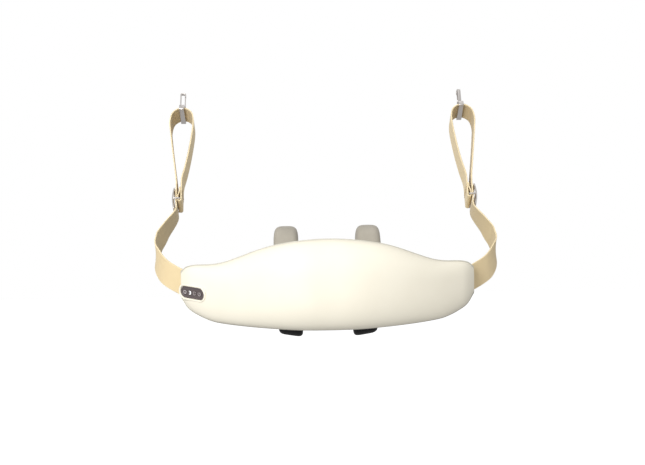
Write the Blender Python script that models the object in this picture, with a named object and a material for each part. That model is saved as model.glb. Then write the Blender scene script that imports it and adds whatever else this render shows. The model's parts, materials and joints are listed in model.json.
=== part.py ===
"""A strapped neck massager: a padded body with four kneading fingers, worn with two webbing hand loops.

Units are metres. +X runs along the body, +Y points at the wearer's neck and +Z is up. The origin is the
middle of the flat neck rest on the rear pad.
"""

import math

import bmesh
import bpy
from mathutils import Matrix, Vector

GAP = 0.0003

# Body: half outline (x, height) above and below the centre line, and the depth of its sections.
HALF_LENGTH = 0.170
TOP_EDGE = ((0, 0.0503), (0.034, 0.0483), (0.061, 0.0439), (0.080, 0.0386), (0.100, 0.0313),
            (0.120, 0.0246), (0.134, 0.0222), (0.155, 0.0211), (0.164, 0.0188), (0.170, 0.0140))
BOTTOM_EDGE = ((0, 0.0519), (0.034, 0.0514), (0.061, 0.0499), (0.093, 0.0476), (0.120, 0.0449),
               (0.134, 0.0424), (0.150, 0.0361), (0.162, 0.0285), (0.170, 0.0170))
HALF_DEPTH = 0.031
END_HALF_DEPTH = 0.0125
BACK_SWEEP = 0.055
SWEEP_POWER = 1.8
SECTION_POWER = 2.4
FLAT_SHARE = 0.97  # each section is cut flat on the wearer's side at this share of its half depth
FLAT_HALF_LENGTH = 0.016
PAD_THICKNESS = 0.0055
SHELL_THICKNESS = 0.0022
FILM_THICKNESS = 0.0006
FILM_ANGLE = 0.42
FILM_HALF_LENGTH = 0.015
SEAM_HALF = 0.0016
PIPING_RADIUS = 0.0011
PIPING_SINK = 0.0004
EVEN_STATIONS = 0.4  # the share of even spacing along the body; the rest bunches towards its ends

# Kneading fingers: (y, z) points of an upper finger's route from its rod, and the half thickness at each.
ROD_Y = -0.020
ROD_Z = 0.014
ROD_RADIUS = 0.0025
ROD_LENGTH = 0.128
UPPER_FINGER_X = 0.0478
LOWER_FINGER_X = 0.0437
FINGER_WIDTH = 0.0282
FINGER_NECK_WIDTH = 0.0230
FINGER_ROUTE = ((0, 0), (0.016, 0.008), (0.032, 0.022), (0.049, 0.0356), (0.067, 0.0370), (0.080, 0.0290))
FINGER_HALF = (0.0070, 0.0080, 0.0100, 0.0125, 0.0120, 0.0100)
FINGER_TAPER = {1: 0.09, -1: 0}  # how much narrower an upper and a lower finger are on their outer faces
FINGER_SQUARENESS = 0.55
LOWER_SLANT = 0.16  # how much deeper a lower finger's inner edge hangs, per width
ARM_WIDTH = 0.0110
ARM_HALF = 0.0045
ARM_TIP = 0.003
HUB_RADIUS = 0.0070
SLOT_SIZE = (0.0284, 0.050, 0.0365)
SLOT_Z = 0.0222

# Gears: a sector on each finger, and a pinion on the cross shaft for each side.
MODULE = 0.0014
SECTOR_TEETH = 20
PINION_TEETH = 8
GEAR_X = 0.0335
GEAR_THICKNESS = 0.0045
PINION_THICKNESS = 0.0055
SECTOR_HUB = 0.006
TOOTH_TIP = 0.75
TOOTH_ROOT = 1.0
UPPER_SECTOR = (math.radians(-128), math.radians(-56))
LOWER_SECTOR = (math.radians(52), math.radians(205))
SHAFT_RADIUS = 0.0020
SHAFT_LENGTH = 0.076
SHAFT_Y = ROD_Y - MODULE * (SECTOR_TEETH + PINION_TEETH) / 2
SHAFT_Z = -ROD_Z
FULL_TURN = 2 * math.pi - 0.1  # short of a whole turn, so that the first tooth isn't made twice

# What carries the drive, and what powers it.
BUSH_RADIUS = 0.0042
BUSH_LENGTH = 0.0042
INNER_UPRIGHT_X = 0.0240
OUTER_UPRIGHT_X = 0.0600
UPRIGHT_THICKNESS = 0.0030
UPRIGHT_HEIGHT = 0.049
UPRIGHT_Z = -0.0055
UPRIGHT_REAR_Y = -0.0145
INNER_UPRIGHT_DEPTH = 0.031
OUTER_UPRIGHT_DEPTH = 0.016
FLOOR_SIZE = (0.123, 0.017, 0.003)
FLOOR_CENTRE = (0, -0.0245, -0.0285)
GEARBOX_SIZE = (0.028, 0.020, 0.022)
MOTOR_RADIUS = 0.0095
MOTOR_LENGTH = 0.026
CELL_RADIUS = 0.0070
CELL_LENGTH = 0.048
CELL_CENTRE = (0.096, -0.0115, -0.003)
CELL_SWEEP = 0.36
MAIN_BOARD_SIZE = (0.042, 0.0016, 0.018)
MAIN_BOARD_Y = -0.0125

# Control panel on the left end.
PANEL_LENGTH = 0.0362
PANEL_HEIGHT = 0.0132
PANEL_DEPTH = 0.0050
PANEL_CENTRE = (-0.1558, 0.0018, -0.0100)
PANEL_TURN = math.radians(-40)
PANEL_ROLL = math.radians(5.5)
PANEL_PITCH = math.radians(8)
PANEL_WELL_DEPTH = 0.015
BUTTON_COUNT = 4
BUTTON_PITCH = 0.0075
BUTTON_RADIUS = 0.0026
BUTTON_HEIGHT = 0.0054
BUTTON_PROUD = 0.0003
BUTTON_TRAVEL = 0.0006
BUTTON_BOARD_SIZE = (0.022, 0.0010, 0.0092)

# Charging socket, in the rear of the right end.
SOCKET_SIZE = (0.0114, 0.0080, 0.0056)
SOCKET_MOUTH = (0.0090, 0.0060, 0.0028)
SOCKET_CENTRE = (0.1330, 0.0180, 0.0)
SOCKET_TURN = math.radians(20)

# Straps: webbing from the body end, up to the slider and round the hand loop.
WEB_WIDTH = 0.030
WEB_THICKNESS = 0.0016
LEAN = math.radians(31)
SLIDER_POINT = (0.1812, 0.1240, 0.0905)
STRAND_GAP = 0.0006
STRAIGHT_BELOW = 0.0150
STRAIGHT_ABOVE = 0.0195
LOOP_HEIGHT = 0.1350
LOOP_HALF = 0.0146
LOOP_SHIFT = -0.0030  # how far inward the top of the hand loop stands from the slider
BODY_ROUTE = ((0.1510, 0.0205, -0.0030), (0.1600, 0.0288, -0.0025), (0.1720, 0.0400, 0.0012),
              (0.1930, 0.0590, 0.0128), (0.2035, 0.0780, 0.0290), (0.2020, 0.0930, 0.0450),
              (0.1940, 0.1030, 0.0600))
ROUTE_STEPS = 4
TWIST_SPANS = 3
SLIT_TURN = math.radians(43)
SLIT_LENGTH = 0.030
ANCHOR_SIZE = (0.0050, 0.0022, 0.018)
ANCHOR_CENTRE = (0.1435, 0.0110, -0.0030)

# Slider: an arched plate outside the strands, a bar in the fold of the strap end and a post at each end.
SLIDER_THICKNESS = 0.0016
SLIDER_WIDTH = 0.0355
SLIDER_HEIGHT = 0.0285
SLIDER_BOW = 0.0018
SLIDER_CLEARANCE = 0.0004
SLIDER_SLOT_HEIGHT = 0.0070
SLIDER_SLOT_Z = 0.0065
SLIDER_POST = (0.0022, 0.0018)  # along the width and up the strap
SLIDER_BAR_RADIUS = 0.0008

# The strap's sewn end, folded round the slider bar.
WRAP_RADIUS = SLIDER_BAR_RADIUS + GAP + WEB_THICKNESS / 2
BAR_X = -(WEB_THICKNESS + STRAND_GAP) / 2 - WRAP_RADIUS
WRAP_ANGLES = [math.radians(a) for a in (180, 225, 270, 315, 360)]
TAIL_HEIGHT = 0.0175

# Flat ring round the top of each hand loop, and the swivel hook on it.
RING_CLEARANCE = 0.0016
RING_SLIP = 0.0007  # how far both rings rest to the left of the top of their arch
RING_INSIDE_WIDTH = 0.0318
RING_BAND = 0.0062
RING_THICKNESS = 0.0014
RING_CORNER = 0.0018
BOSS_RADIUS = 0.0024
BOSS_HEIGHT = 0.0012
COLLAR_RADIUS = 0.0022
COLLAR_HEIGHT = 0.0036
HOOK_WIDTH = 0.0074
HOOK_HEIGHT = 0.0232
HOOK_DEPTH = 0.0040
HOOK_WALL = 0.0016
HOOK_CORNER = 0.0024
HOOK_TURN = {-1: math.radians(4), 1: math.radians(80)}
GATE_SIZE = (0.0030, 0.0013, 0.0110)
GATE_HINGE = 0.0007  # how far its pivot stands above the gate's lower end


def clear_scene():
    for obj in list(bpy.data.objects):
        bpy.data.objects.remove(obj, do_unlink=True)


def new_collection(name):
    collection = bpy.data.collections.new(name)
    bpy.context.scene.collection.children.link(collection)
    return collection


def make_material(name, rgb, roughness, metallic=0.0):
    material = bpy.data.materials.new(name)
    material.use_nodes = True
    shader = material.node_tree.nodes["Principled BSDF"]
    shader.inputs["Base Color"].default_value = (*rgb, 1.0)
    shader.inputs["Roughness"].default_value = roughness
    shader.inputs["Metallic"].default_value = metallic
    return material


def add_object(name, bm, material, smooth=False):
    """A new object from a bmesh, in the massager's collection, with its normals facing out."""
    bmesh.ops.recalc_face_normals(bm, faces=bm.faces)
    if bm.calc_volume(signed=True) < 0:
        bmesh.ops.reverse_faces(bm, faces=bm.faces)
    mesh = bpy.data.meshes.new(name)
    bm.to_mesh(mesh)
    bm.free()
    obj = bpy.data.objects.new(name, mesh)
    parts.objects.link(obj)
    if smooth:
        mesh.shade_smooth()
        mesh.set_sharp_from_angle(angle=math.radians(35))
    mesh.materials.append(material)
    return obj


def as_cutter(obj):
    parts.objects.unlink(obj)
    cutters.objects.link(obj)
    obj.hide_render = True
    obj.display_type = "WIRE"
    return obj


def boolean(obj, other, operation):
    modifier = obj.modifiers.new(operation.title() + other.name, "BOOLEAN")
    modifier.operation = operation
    modifier.object = as_cutter(other) if other.name in parts.objects else other


def cut(obj, *others):
    for other in others:
        boolean(obj, other, "DIFFERENCE")


def join(obj, *others):
    for other in others:
        boolean(obj, other, "UNION")


def box(name, size, centre, material, turn=None):
    bm = bmesh.new()
    bmesh.ops.create_cube(bm, size=1.0)
    bmesh.ops.scale(bm, vec=size, verts=bm.verts)
    obj = add_object(name, bm, material)
    obj.matrix_world = Matrix.Translation(centre) @ (turn or Matrix.Identity(4))
    return obj


def rod(name, radius, length, centre, axis, material, sides=24):
    bm = bmesh.new()
    bmesh.ops.create_cone(bm, cap_ends=True, segments=sides, radius1=radius, radius2=radius, depth=length)
    obj = add_object(name, bm, material, smooth=True)
    turn = Vector((0, 0, 1)).rotation_difference(Vector(axis)).to_matrix().to_4x4()
    obj.matrix_world = Matrix.Translation(centre) @ turn
    return obj


def tube(name, points, radius, material, cyclic=False, sides=2):
    curve = bpy.data.curves.new(name, "CURVE")
    curve.dimensions = "3D"
    spline = curve.splines.new("POLY")
    spline.points.add(len(points) - 1)
    for point, co in zip(spline.points, points):
        point.co = (*co, 1.0)
    spline.use_cyclic_u = cyclic
    curve.bevel_depth = radius
    curve.bevel_resolution = sides
    curve.use_fill_caps = not cyclic
    curve.materials.append(material)
    obj = bpy.data.objects.new(name, curve)
    parts.objects.link(obj)
    return obj


def curve_to_mesh(obj):
    """The same tube as a mesh object with welded caps, so that it can be cut or joined."""
    name = obj.name
    mesh = bpy.data.meshes.new_from_object(obj.evaluated_get(bpy.context.evaluated_depsgraph_get()))
    bm = bmesh.new()
    bm.from_mesh(mesh)
    bmesh.ops.remove_doubles(bm, verts=bm.verts, dist=1e-6)
    matrix = obj.matrix_world.copy()
    material = obj.data.materials[0]
    bpy.data.objects.remove(obj)
    made = add_object(name, bm, material, smooth=True)
    made.matrix_world = matrix
    return made


def loft(name, rings, material, smooth=True, folded_ends=False):
    """A closed solid through rings of equally many points. Folded ends join a sheet's two sides."""
    bm = bmesh.new()
    rows = [[bm.verts.new(co) for co in ring] for ring in rings]
    count = len(rows[0])
    for row, after in zip(rows, rows[1:]):
        for i in range(count):
            j = (i + 1) % count
            bm.faces.new((row[i], row[j], after[j], after[i]))
    for row in (rows[0], rows[-1]):
        if folded_ends:
            for i in range(count // 2 - 1):
                bm.faces.new((row[i], row[i + 1], row[count - 2 - i], row[count - 1 - i]))
        else:
            bm.faces.new(row)
    return add_object(name, bm, material, smooth)


def extrude_x(name, outline, width, material):
    """A flat outline of (y, z) points about the object's own origin, made as thick as width along X."""
    rings = [[(side * width / 2, y, z) for y, z in outline] for side in (-1, 1)]
    return loft(name, rings, material, smooth=False)


def rounded_outline(width, height, radius, steps=4):
    """Corner points of a rectangle with rounded corners, centred on the origin."""
    outline = []
    for k, (side, level) in enumerate(((1, 1), (-1, 1), (-1, -1), (1, -1))):
        for a in spread(k * math.pi / 2, (k + 1) * math.pi / 2, steps):
            outline.append((side * (width / 2 - radius) + radius * math.cos(a),
                            level * (height / 2 - radius) + radius * math.sin(a)))
    return outline


def smooth_value(points, x):
    """A smooth curve through (x, value) points, read at x (cubic between neighbours)."""
    xs = [p[0] for p in points]
    vs = [p[1] for p in points]
    x = min(max(x, xs[0]), xs[-1])
    i = max(k for k in range(len(xs) - 1) if xs[k] <= x)

    def slope(k):
        if k == 0:
            return 0.0
        if k == len(xs) - 1:
            return (vs[k] - vs[k - 1]) / (xs[k] - xs[k - 1])
        return (vs[k + 1] - vs[k - 1]) / (xs[k + 1] - xs[k - 1])

    span = xs[i + 1] - xs[i]
    t = (x - xs[i]) / span
    return ((2 * t**3 - 3 * t**2 + 1) * vs[i] + (t**3 - 2 * t**2 + t) * span * slope(i)
            + (3 * t**2 - 2 * t**3) * vs[i + 1] + (t**3 - t**2) * span * slope(i + 1))


def end_share(x):
    """0 over the flat middle of the body, 1 at either end."""
    return max(abs(x) - FLAT_HALF_LENGTH, 0) / (HALF_LENGTH - FLAT_HALF_LENGTH)


def centre_y(x):
    return BACK_SWEEP * end_share(x) ** SWEEP_POWER - FLAT_SHARE * HALF_DEPTH


def half_depth(x):
    share = end_share(x)
    depth = HALF_DEPTH + (END_HALF_DEPTH - HALF_DEPTH) * share**1.6
    return depth * max(1 - max(share - 0.9, 0) ** 2 * 45, 0.3)


def body_point(x, angle, offset):
    """A point of the body's surface, sunk by offset. Angle 0 faces the wearer, 90 degrees is the top."""
    inner_x = x * (HALF_LENGTH - offset) / HALF_LENGTH
    edge = TOP_EDGE if math.sin(angle) > 0 else BOTTOM_EDGE
    height = smooth_value(edge, abs(x))
    height = max(height - offset, 0.3 * height)
    depth = max(half_depth(x) - offset, 0.3 * half_depth(x))
    power = 2 / SECTION_POWER
    y = depth * min(math.copysign(abs(math.cos(angle)) ** power, math.cos(angle)), FLAT_SHARE)
    z = height * math.copysign(abs(math.sin(angle)) ** power, math.sin(angle))
    return (inner_x, centre_y(inner_x) + y, z)


def seam_angle(x):
    """How far round from the top of the section the padding stops, to leave room for the piping."""
    return math.asin((SEAM_HALF / half_depth(x)) ** (SECTION_POWER / 2))


def body_shell(name, outer, inner, angles, x_range, material, stations=24, steps=12, to_seam=True):
    """A curved sheet of the body between two depths under its surface, from one angle round to the other."""
    rings = []
    for i in range(stations + 1):
        share = i / stations
        bunched = math.sin((share - 0.5) * math.pi) / 2 + 0.5
        eased = EVEN_STATIONS * share + (1 - EVEN_STATIONS) * bunched
        x = x_range[0] + (x_range[1] - x_range[0]) * eased
        inset = seam_angle(x) if to_seam else 0
        sweep = spread(angles[0] + inset, angles[1] - inset, steps + 1)
        ring = [body_point(x, a, outer) for a in sweep]
        ring += [body_point(x, a, inner) for a in reversed(sweep)]
        rings.append(ring)
    return loft(name, rings, material, folded_ends=True)


def make_covers(material):
    """Front and rear padding, the two shells under them and the piping in the seam."""
    quarter = math.pi / 2
    front = (quarter, 3 * quarter)
    rear = (-quarter, quarter)
    whole = (-HALF_LENGTH, HALF_LENGTH)
    shell_outer = PAD_THICKNESS + GAP
    film_outer = PAD_THICKNESS + 2 * GAP
    rear_outer = film_outer + FILM_THICKNESS + 2 * GAP
    front_pad = body_shell("front_cover_pad", 0, PAD_THICKNESS, front, whole, material["leather"])
    front_shell = body_shell("front_shell", shell_outer, shell_outer + SHELL_THICKNESS, front, whole,
                             material["shell"])
    rear_pad = body_shell("rear_pad", 0, PAD_THICKNESS, rear, whole, material["fabric"])
    rear_shell = body_shell("rear_shell", rear_outer, rear_outer + SHELL_THICKNESS, rear, whole,
                            material["shell"])
    body_shell("heating_film", film_outer, film_outer + FILM_THICKNESS, (-FILM_ANGLE, FILM_ANGLE),
               (-FILM_HALF_LENGTH, FILM_HALF_LENGTH), material["film"], stations=6, steps=6, to_seam=False)
    turns = spread(-quarter, quarter, 32)
    seam = [body_point(HALF_LENGTH * math.sin(a), quarter, PIPING_SINK) for a in turns]
    seam += [body_point(HALF_LENGTH * math.sin(a), -quarter, PIPING_SINK) for a in reversed(turns)]
    tube("seam_piping", seam, PIPING_RADIUS, material["piping"], cyclic=True, sides=1)
    return front_pad, front_shell, rear_pad, rear_shell


def spread(start, end, count):
    return [start + (end - start) * i / (count - 1) for i in range(count)]


def finger_x(side, level):
    return side * (UPPER_FINGER_X if level > 0 else LOWER_FINGER_X)


def cut_finger_slots(rear_pad, rear_shell, material):
    for side in (-1, 1):
        for level, name in ((1, "upper"), (-1, "lower")):
            centre = (finger_x(side, level), 0, level * SLOT_Z)
            slot = box(f"slot_{name}_{side}", SLOT_SIZE, centre, material)
            cut(rear_pad, slot)
            cut(rear_shell, slot)


def gear_outline(teeth, start, end, hub=SECTOR_HUB):
    """Trapezoid teeth on the pitch circle from start to end (radians), and a round hub for the rest."""
    pitch_radius = MODULE * teeth / 2
    step = 2 * math.pi / teeth
    tip = pitch_radius + TOOTH_TIP * MODULE
    root = pitch_radius - TOOTH_ROOT * MODULE
    first = math.ceil(start / step)
    last = math.floor(end / step)
    outline = []
    for k in range(first, last + 1):
        for radius, share in ((root, -0.27), (tip, -0.11), (tip, 0.11), (root, 0.27)):
            angle = (k + share) * step
            outline.append((radius * math.cos(angle), radius * math.sin(angle)))
    if last - first + 1 < teeth:
        for angle in spread((last + 0.5) * step, (first - 0.5) * step + 2 * math.pi, 12):
            outline.append((hub * math.cos(angle), hub * math.sin(angle)))
    return outline


def turned(outline, angle):
    c, s = math.cos(angle), math.sin(angle)
    return [(c * y - s * z, s * y + c * z) for y, z in outline]


def route_direction(route, i):
    return (route[min(i + 1, len(route) - 1)] - route[max(i - 1, 0)]).normalized()


def arm_outline(level, grow=0.0):
    """The finger arm about its rod in the YZ plane: a strip along the finger's route."""
    route = [Vector(p) for p in FINGER_ROUTE[:-1]]
    left, right = [], []
    for i, point in enumerate(route):
        ahead = route_direction(route, i)
        aside = Vector((-ahead.y, ahead.x)) * (ARM_HALF + grow)
        left.append(point + aside)
        right.append(point - aside)
    end = (route[-1] - route[-2]).normalized() * (ARM_TIP + grow)
    left[-1] += end
    right[-1] += end
    outline = [(y, level * z) for y, z in left + right[::-1]]
    return outline if level > 0 else outline[::-1]


def finger_sections():
    """(point, direction, half thickness, half width) along the finger, out to its rounded tip."""
    route = [Vector(p) for p in FINGER_ROUTE]
    sections = []
    for i in range(1, len(route)):
        width = FINGER_NECK_WIDTH if i == 1 else FINGER_WIDTH
        sections.append((route[i], route_direction(route, i), FINGER_HALF[i], width / 2))
    tip, ahead, half, wide = sections[-1]
    sections.append((tip + ahead * half * 0.55, ahead, half * 0.80, wide * 0.86))
    sections.append((tip + ahead * half * 0.85, ahead, half * 0.45, wide * 0.60))
    return sections


def finger_cover(where, side, level, material):
    """The rounded silicone finger about its rod, hollow over the arm."""
    rings = []
    sections = finger_sections()
    for i, (point, ahead, half, wide) in enumerate(sections):
        slant = LOWER_SLANT * min(i / 2, 1) if level < 0 else 0
        normal = Vector((-ahead.y, ahead.x))
        ring = []
        for a in spread(0, 2 * math.pi, 17)[:-1]:
            rise = math.copysign(abs(math.sin(a)) ** FINGER_SQUARENESS, math.sin(a))
            across = math.copysign(abs(math.cos(a)) ** FINGER_SQUARENESS, math.cos(a))
            across *= wide * (1 - FINGER_TAPER[level] * max(rise, 0))
            out = half * rise
            y, z = point + normal * out
            ring.append((across, y, level * z + slant * side * across))
        rings.append(ring)
    cover = loft(f"finger_cover_{where}", rings, material)
    hollow = extrude_x(f"hollow_{where}", arm_outline(level, grow=GAP), ARM_WIDTH + 2 * GAP, material)
    cut(cover, hollow)
    return cover, hollow


def make_finger(side, level, material):
    """One kneading finger: arm with hub, silicone cover and sector gear, all with their origin on the rod."""
    where = f"{'upper' if level > 0 else 'lower'}_{'right' if side > 0 else 'left'}"
    pivot = (finger_x(side, level), ROD_Y, level * ROD_Z)
    arm = extrude_x(f"finger_arm_{where}", arm_outline(level), ARM_WIDTH, material["arm"])
    arm.location = pivot
    join(arm, rod(f"hub_{where}", HUB_RADIUS, ARM_WIDTH, pivot, (1, 0, 0), material["arm"]))
    bore = rod(f"bore_{where}", ROD_RADIUS + GAP, ROD_LENGTH, (0, *pivot[1:]), (1, 0, 0), material["arm"])
    cut(arm, bore)
    silicone = material["upper_silicone"] if level > 0 else material["lower_silicone"]
    for piece in finger_cover(where, side, level, silicone):
        piece.location = pivot
    if level > 0:
        outline = turned(gear_outline(SECTOR_TEETH, *UPPER_SECTOR), math.pi / SECTOR_TEETH)
    else:
        outline = gear_outline(SECTOR_TEETH, *LOWER_SECTOR)
    gear = extrude_x(f"sector_gear_{where}", outline, GEAR_THICKNESS, material["gear"])
    gear.location = (side * GEAR_X, *pivot[1:])
    cut(gear, bore)


def make_drive(material):
    """Rods, cross shaft with pinions and bushes, gearbox and motor."""
    for level, name in ((1, "upper"), (-1, "lower")):
        rod(f"pivot_rod_{name}", ROD_RADIUS, ROD_LENGTH, (0, ROD_Y, level * ROD_Z), (1, 0, 0),
            material["steel"])
    shaft_centre = (0, SHAFT_Y, SHAFT_Z)
    rod("drive_shaft", SHAFT_RADIUS, SHAFT_LENGTH, shaft_centre, (1, 0, 0), material["steel"])
    shaft_hole = rod("shaft_hole", SHAFT_RADIUS + GAP, ROD_LENGTH, shaft_centre, (1, 0, 0), material["steel"])
    for side, name in ((-1, "left"), (1, "right")):
        outline = turned(gear_outline(PINION_TEETH, 0.0, FULL_TURN), math.pi / PINION_TEETH)
        pinion = extrude_x(f"pinion_{name}", outline, PINION_THICKNESS, material["brass"])
        pinion.location = (side * GEAR_X, SHAFT_Y, SHAFT_Z)
        cut(pinion, shaft_hole)
        bush_centre = (side * INNER_UPRIGHT_X, SHAFT_Y, SHAFT_Z)
        bush = rod(f"shaft_bush_{name}", BUSH_RADIUS, BUSH_LENGTH, bush_centre, (1, 0, 0), material["brass"])
        cut(bush, shaft_hole)
    gearbox = box("gearbox", GEARBOX_SIZE, shaft_centre, material["arm"])
    cut(gearbox, shaft_hole)
    motor_z = SHAFT_Z + GEARBOX_SIZE[2] / 2 + GAP + MOTOR_LENGTH / 2
    rod("motor", MOTOR_RADIUS, MOTOR_LENGTH, (0, SHAFT_Y, motor_z), (0, 0, 1), material["steel"])


def make_chassis(material):
    """A floor with four uprights that hold the rods and the cross shaft's bushes."""
    chassis = box("chassis", FLOOR_SIZE, FLOOR_CENTRE, material["arm"])
    for side in (-1, 1):
        for x, depth in ((INNER_UPRIGHT_X, INNER_UPRIGHT_DEPTH), (OUTER_UPRIGHT_X, OUTER_UPRIGHT_DEPTH)):
            upright = box(f"upright_{side * x}", (UPRIGHT_THICKNESS, depth, UPRIGHT_HEIGHT),
                          (side * x, UPRIGHT_REAR_Y - depth / 2, UPRIGHT_Z), material["arm"])
            join(chassis, upright)
    for level in (-1, 1):
        cut(chassis, rod(f"rod_hole_{level}", ROD_RADIUS + GAP, 2 * ROD_LENGTH, (0, ROD_Y, level * ROD_Z),
                         (1, 0, 0), material["arm"]))
    cut(chassis, rod("bush_hole", BUSH_RADIUS + GAP, ROD_LENGTH, (0, SHAFT_Y, SHAFT_Z), (1, 0, 0),
                     material["arm"]))


def make_electronics(material):
    """Battery cells and main board."""
    x, y, z = CELL_CENTRE
    for side, name in ((-1, "left"), (1, "right")):
        rod(f"battery_cell_{name}", CELL_RADIUS, CELL_LENGTH, (side * x, y, z), (1, side * CELL_SWEEP, 0),
            material["cell"])
    box("main_board", MAIN_BOARD_SIZE, (0, MAIN_BOARD_Y, 0), material["board"])


def panel_frame():
    return (Matrix.Translation(PANEL_CENTRE) @ Matrix.Rotation(PANEL_TURN, 4, "Z")
            @ Matrix.Rotation(PANEL_PITCH, 4, "X") @ Matrix.Rotation(PANEL_ROLL, 4, "Y"))


def capsule(name, length, height, depth, material):
    """A stadium-shaped plate in the XZ plane, with its front face at y = 0."""
    radius = height / 2
    outline = [(length / 2 - radius + radius * math.cos(a), radius * math.sin(a))
               for a in spread(-math.pi / 2, math.pi / 2, 12)]
    outline += [(-x, -z) for x, z in outline]
    obj = loft(name, [[(x, y, z) for x, z in outline] for y in (0, depth)], material, smooth=False)
    obj.matrix_world = panel_frame()
    return obj


def make_panel(covers, material):
    """The control panel: bezel, four push buttons and the board behind them."""
    frame = panel_frame()
    well = capsule("panel_well", PANEL_LENGTH + 2 * GAP, PANEL_HEIGHT + 2 * GAP, 2 * PANEL_WELL_DEPTH,
                   material["panel"])
    well.matrix_world = frame @ Matrix.Translation((0, -PANEL_WELL_DEPTH, 0))
    for cover in covers:
        cut(cover, well)
    bezel = capsule("panel_bezel", PANEL_LENGTH, PANEL_HEIGHT, PANEL_DEPTH, material["panel"])
    board = box("button_board", BUTTON_BOARD_SIZE, (0, 0, 0), material["board"])
    board_y = BUTTON_HEIGHT - BUTTON_PROUD + BUTTON_TRAVEL + GAP + BUTTON_BOARD_SIZE[1] / 2
    board.matrix_world = frame @ Matrix.Translation((0, board_y, 0))
    upright = Matrix.Rotation(math.pi / 2, 4, "X")
    for i in range(BUTTON_COUNT):
        x = (i - (BUTTON_COUNT - 1) / 2) * BUTTON_PITCH
        hole = rod(f"button_hole_{i}", BUTTON_RADIUS + GAP, 4 * PANEL_DEPTH, (0, 0, 0), (0, 1, 0),
                   material["panel"])
        hole.matrix_world = frame @ Matrix.Translation((x, 0, 0)) @ upright
        cut(bezel, hole)
        button = rod(f"push_button_{i + 1}", BUTTON_RADIUS, BUTTON_HEIGHT, (0, 0, 0), (0, 1, 0),
                     material["button"])
        button.matrix_world = frame @ Matrix.Translation((x, BUTTON_HEIGHT / 2 - BUTTON_PROUD, 0)) @ upright


def make_socket(covers, material):
    """The charging socket: an open shell set in a pocket through the rear padding and shell."""
    place = Matrix.Translation(SOCKET_CENTRE) @ Matrix.Rotation(SOCKET_TURN, 4, "Z")
    socket = box("charging_socket", SOCKET_SIZE, (0, 0, 0), material["steel"])
    socket.matrix_world = place
    mouth = box("socket_mouth", SOCKET_MOUTH, (0, 0, 0), material["steel"])
    mouth.matrix_world = place @ Matrix.Translation((0, SOCKET_SIZE[1] / 2 - SOCKET_MOUTH[1] / 2 + GAP, 0))
    cut(socket, mouth)
    pocket = box("socket_pocket", (SOCKET_SIZE[0] + 2 * GAP, 0.030, SOCKET_SIZE[2] + 2 * GAP), (0, 0, 0),
                 material["steel"])
    pocket.matrix_world = place
    for cover in covers:
        cut(cover, pocket)


def smooth_route(points, per_span):
    """Points along a smooth (Catmull-Rom) curve through the given points."""
    route = [Vector(p) for p in points]
    padded = [route[0] * 2 - route[1], *route, route[-1] * 2 - route[-2]]
    made = []
    for a, b, c, d in zip(padded, padded[1:], padded[2:], padded[3:]):
        for k in range(per_span):
            t = k / per_span
            made.append(0.5 * (2 * b + (c - a) * t + (2 * a - 5 * b + 4 * c - d) * t**2
                               + (3 * b - 3 * c + d - a) * t**3))
    return made + [route[-1]]


def ribbon(name, points, widths, material):
    """Flat webbing along points, with its width along the vector given at each point."""
    rings = []
    for i, point in enumerate(points):
        ahead = (points[min(i + 1, len(points) - 1)] - points[max(i - 1, 0)]).normalized()
        across = (widths[i] - widths[i].dot(ahead) * ahead).normalized()
        normal = ahead.cross(across)
        rings.append([point + across * u * WEB_WIDTH / 2 + normal * v * WEB_THICKNESS / 2
                      for u, v in ((-1, -1), (1, -1), (1, 1), (-1, 1))])
    return loft(name, rings, material, smooth=False)


def lean_frame(side):
    """Axes at the slider: X outward across the webbing, Y along its width, Z up the hand loop."""
    up = Vector((0, math.sin(LEAN), math.cos(LEAN)))
    width = Vector((0, -math.cos(LEAN), math.sin(LEAN)))
    out = Vector((side, 0, 0))
    matrix = Matrix((out, width, up)).transposed().to_4x4()
    matrix.translation = Vector((side * SLIDER_POINT[0], *SLIDER_POINT[1:]))
    return matrix


def loop_route():
    """(outward, up) points: up the outer strand, over the arch, down and round the slider bar."""
    strand = (WEB_THICKNESS + STRAND_GAP) / 2
    straight = [(strand, -STRAIGHT_BELOW), (strand, 0), (strand, STRAIGHT_ABOVE)]
    loop = [(0.0030, 0.0340), (0.0064, 0.0560), (0.0100, 0.0790), (0.0130, 0.1000), (LOOP_HALF, 0.1140),
            (0.0126, 0.1265), (0.0070, 0.1328), (0, LOOP_HEIGHT), (-0.0070, 0.1328), (-0.0126, 0.1265),
            (-LOOP_HALF, 0.1140), (-0.0138, 0.0960), (-0.0112, 0.0710), (-0.0080, 0.0490), (-0.0046, 0.0310)]
    leg = BAR_X - WRAP_RADIUS
    wrap = [(BAR_X + WRAP_RADIUS * math.cos(a), WRAP_RADIUS * math.sin(a)) for a in WRAP_ANGLES]
    tail_x = leg + WEB_THICKNESS + STRAND_GAP / 2
    down = [(leg, 0.0160), (leg, 0.0060)]
    tail = [(BAR_X + WRAP_RADIUS, 0.0055), (tail_x, 0.0120), (tail_x, TAIL_HEIGHT)]
    return straight + [(x + LOOP_SHIFT * z / LOOP_HEIGHT, z) for x, z in loop] + down + wrap + tail


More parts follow.
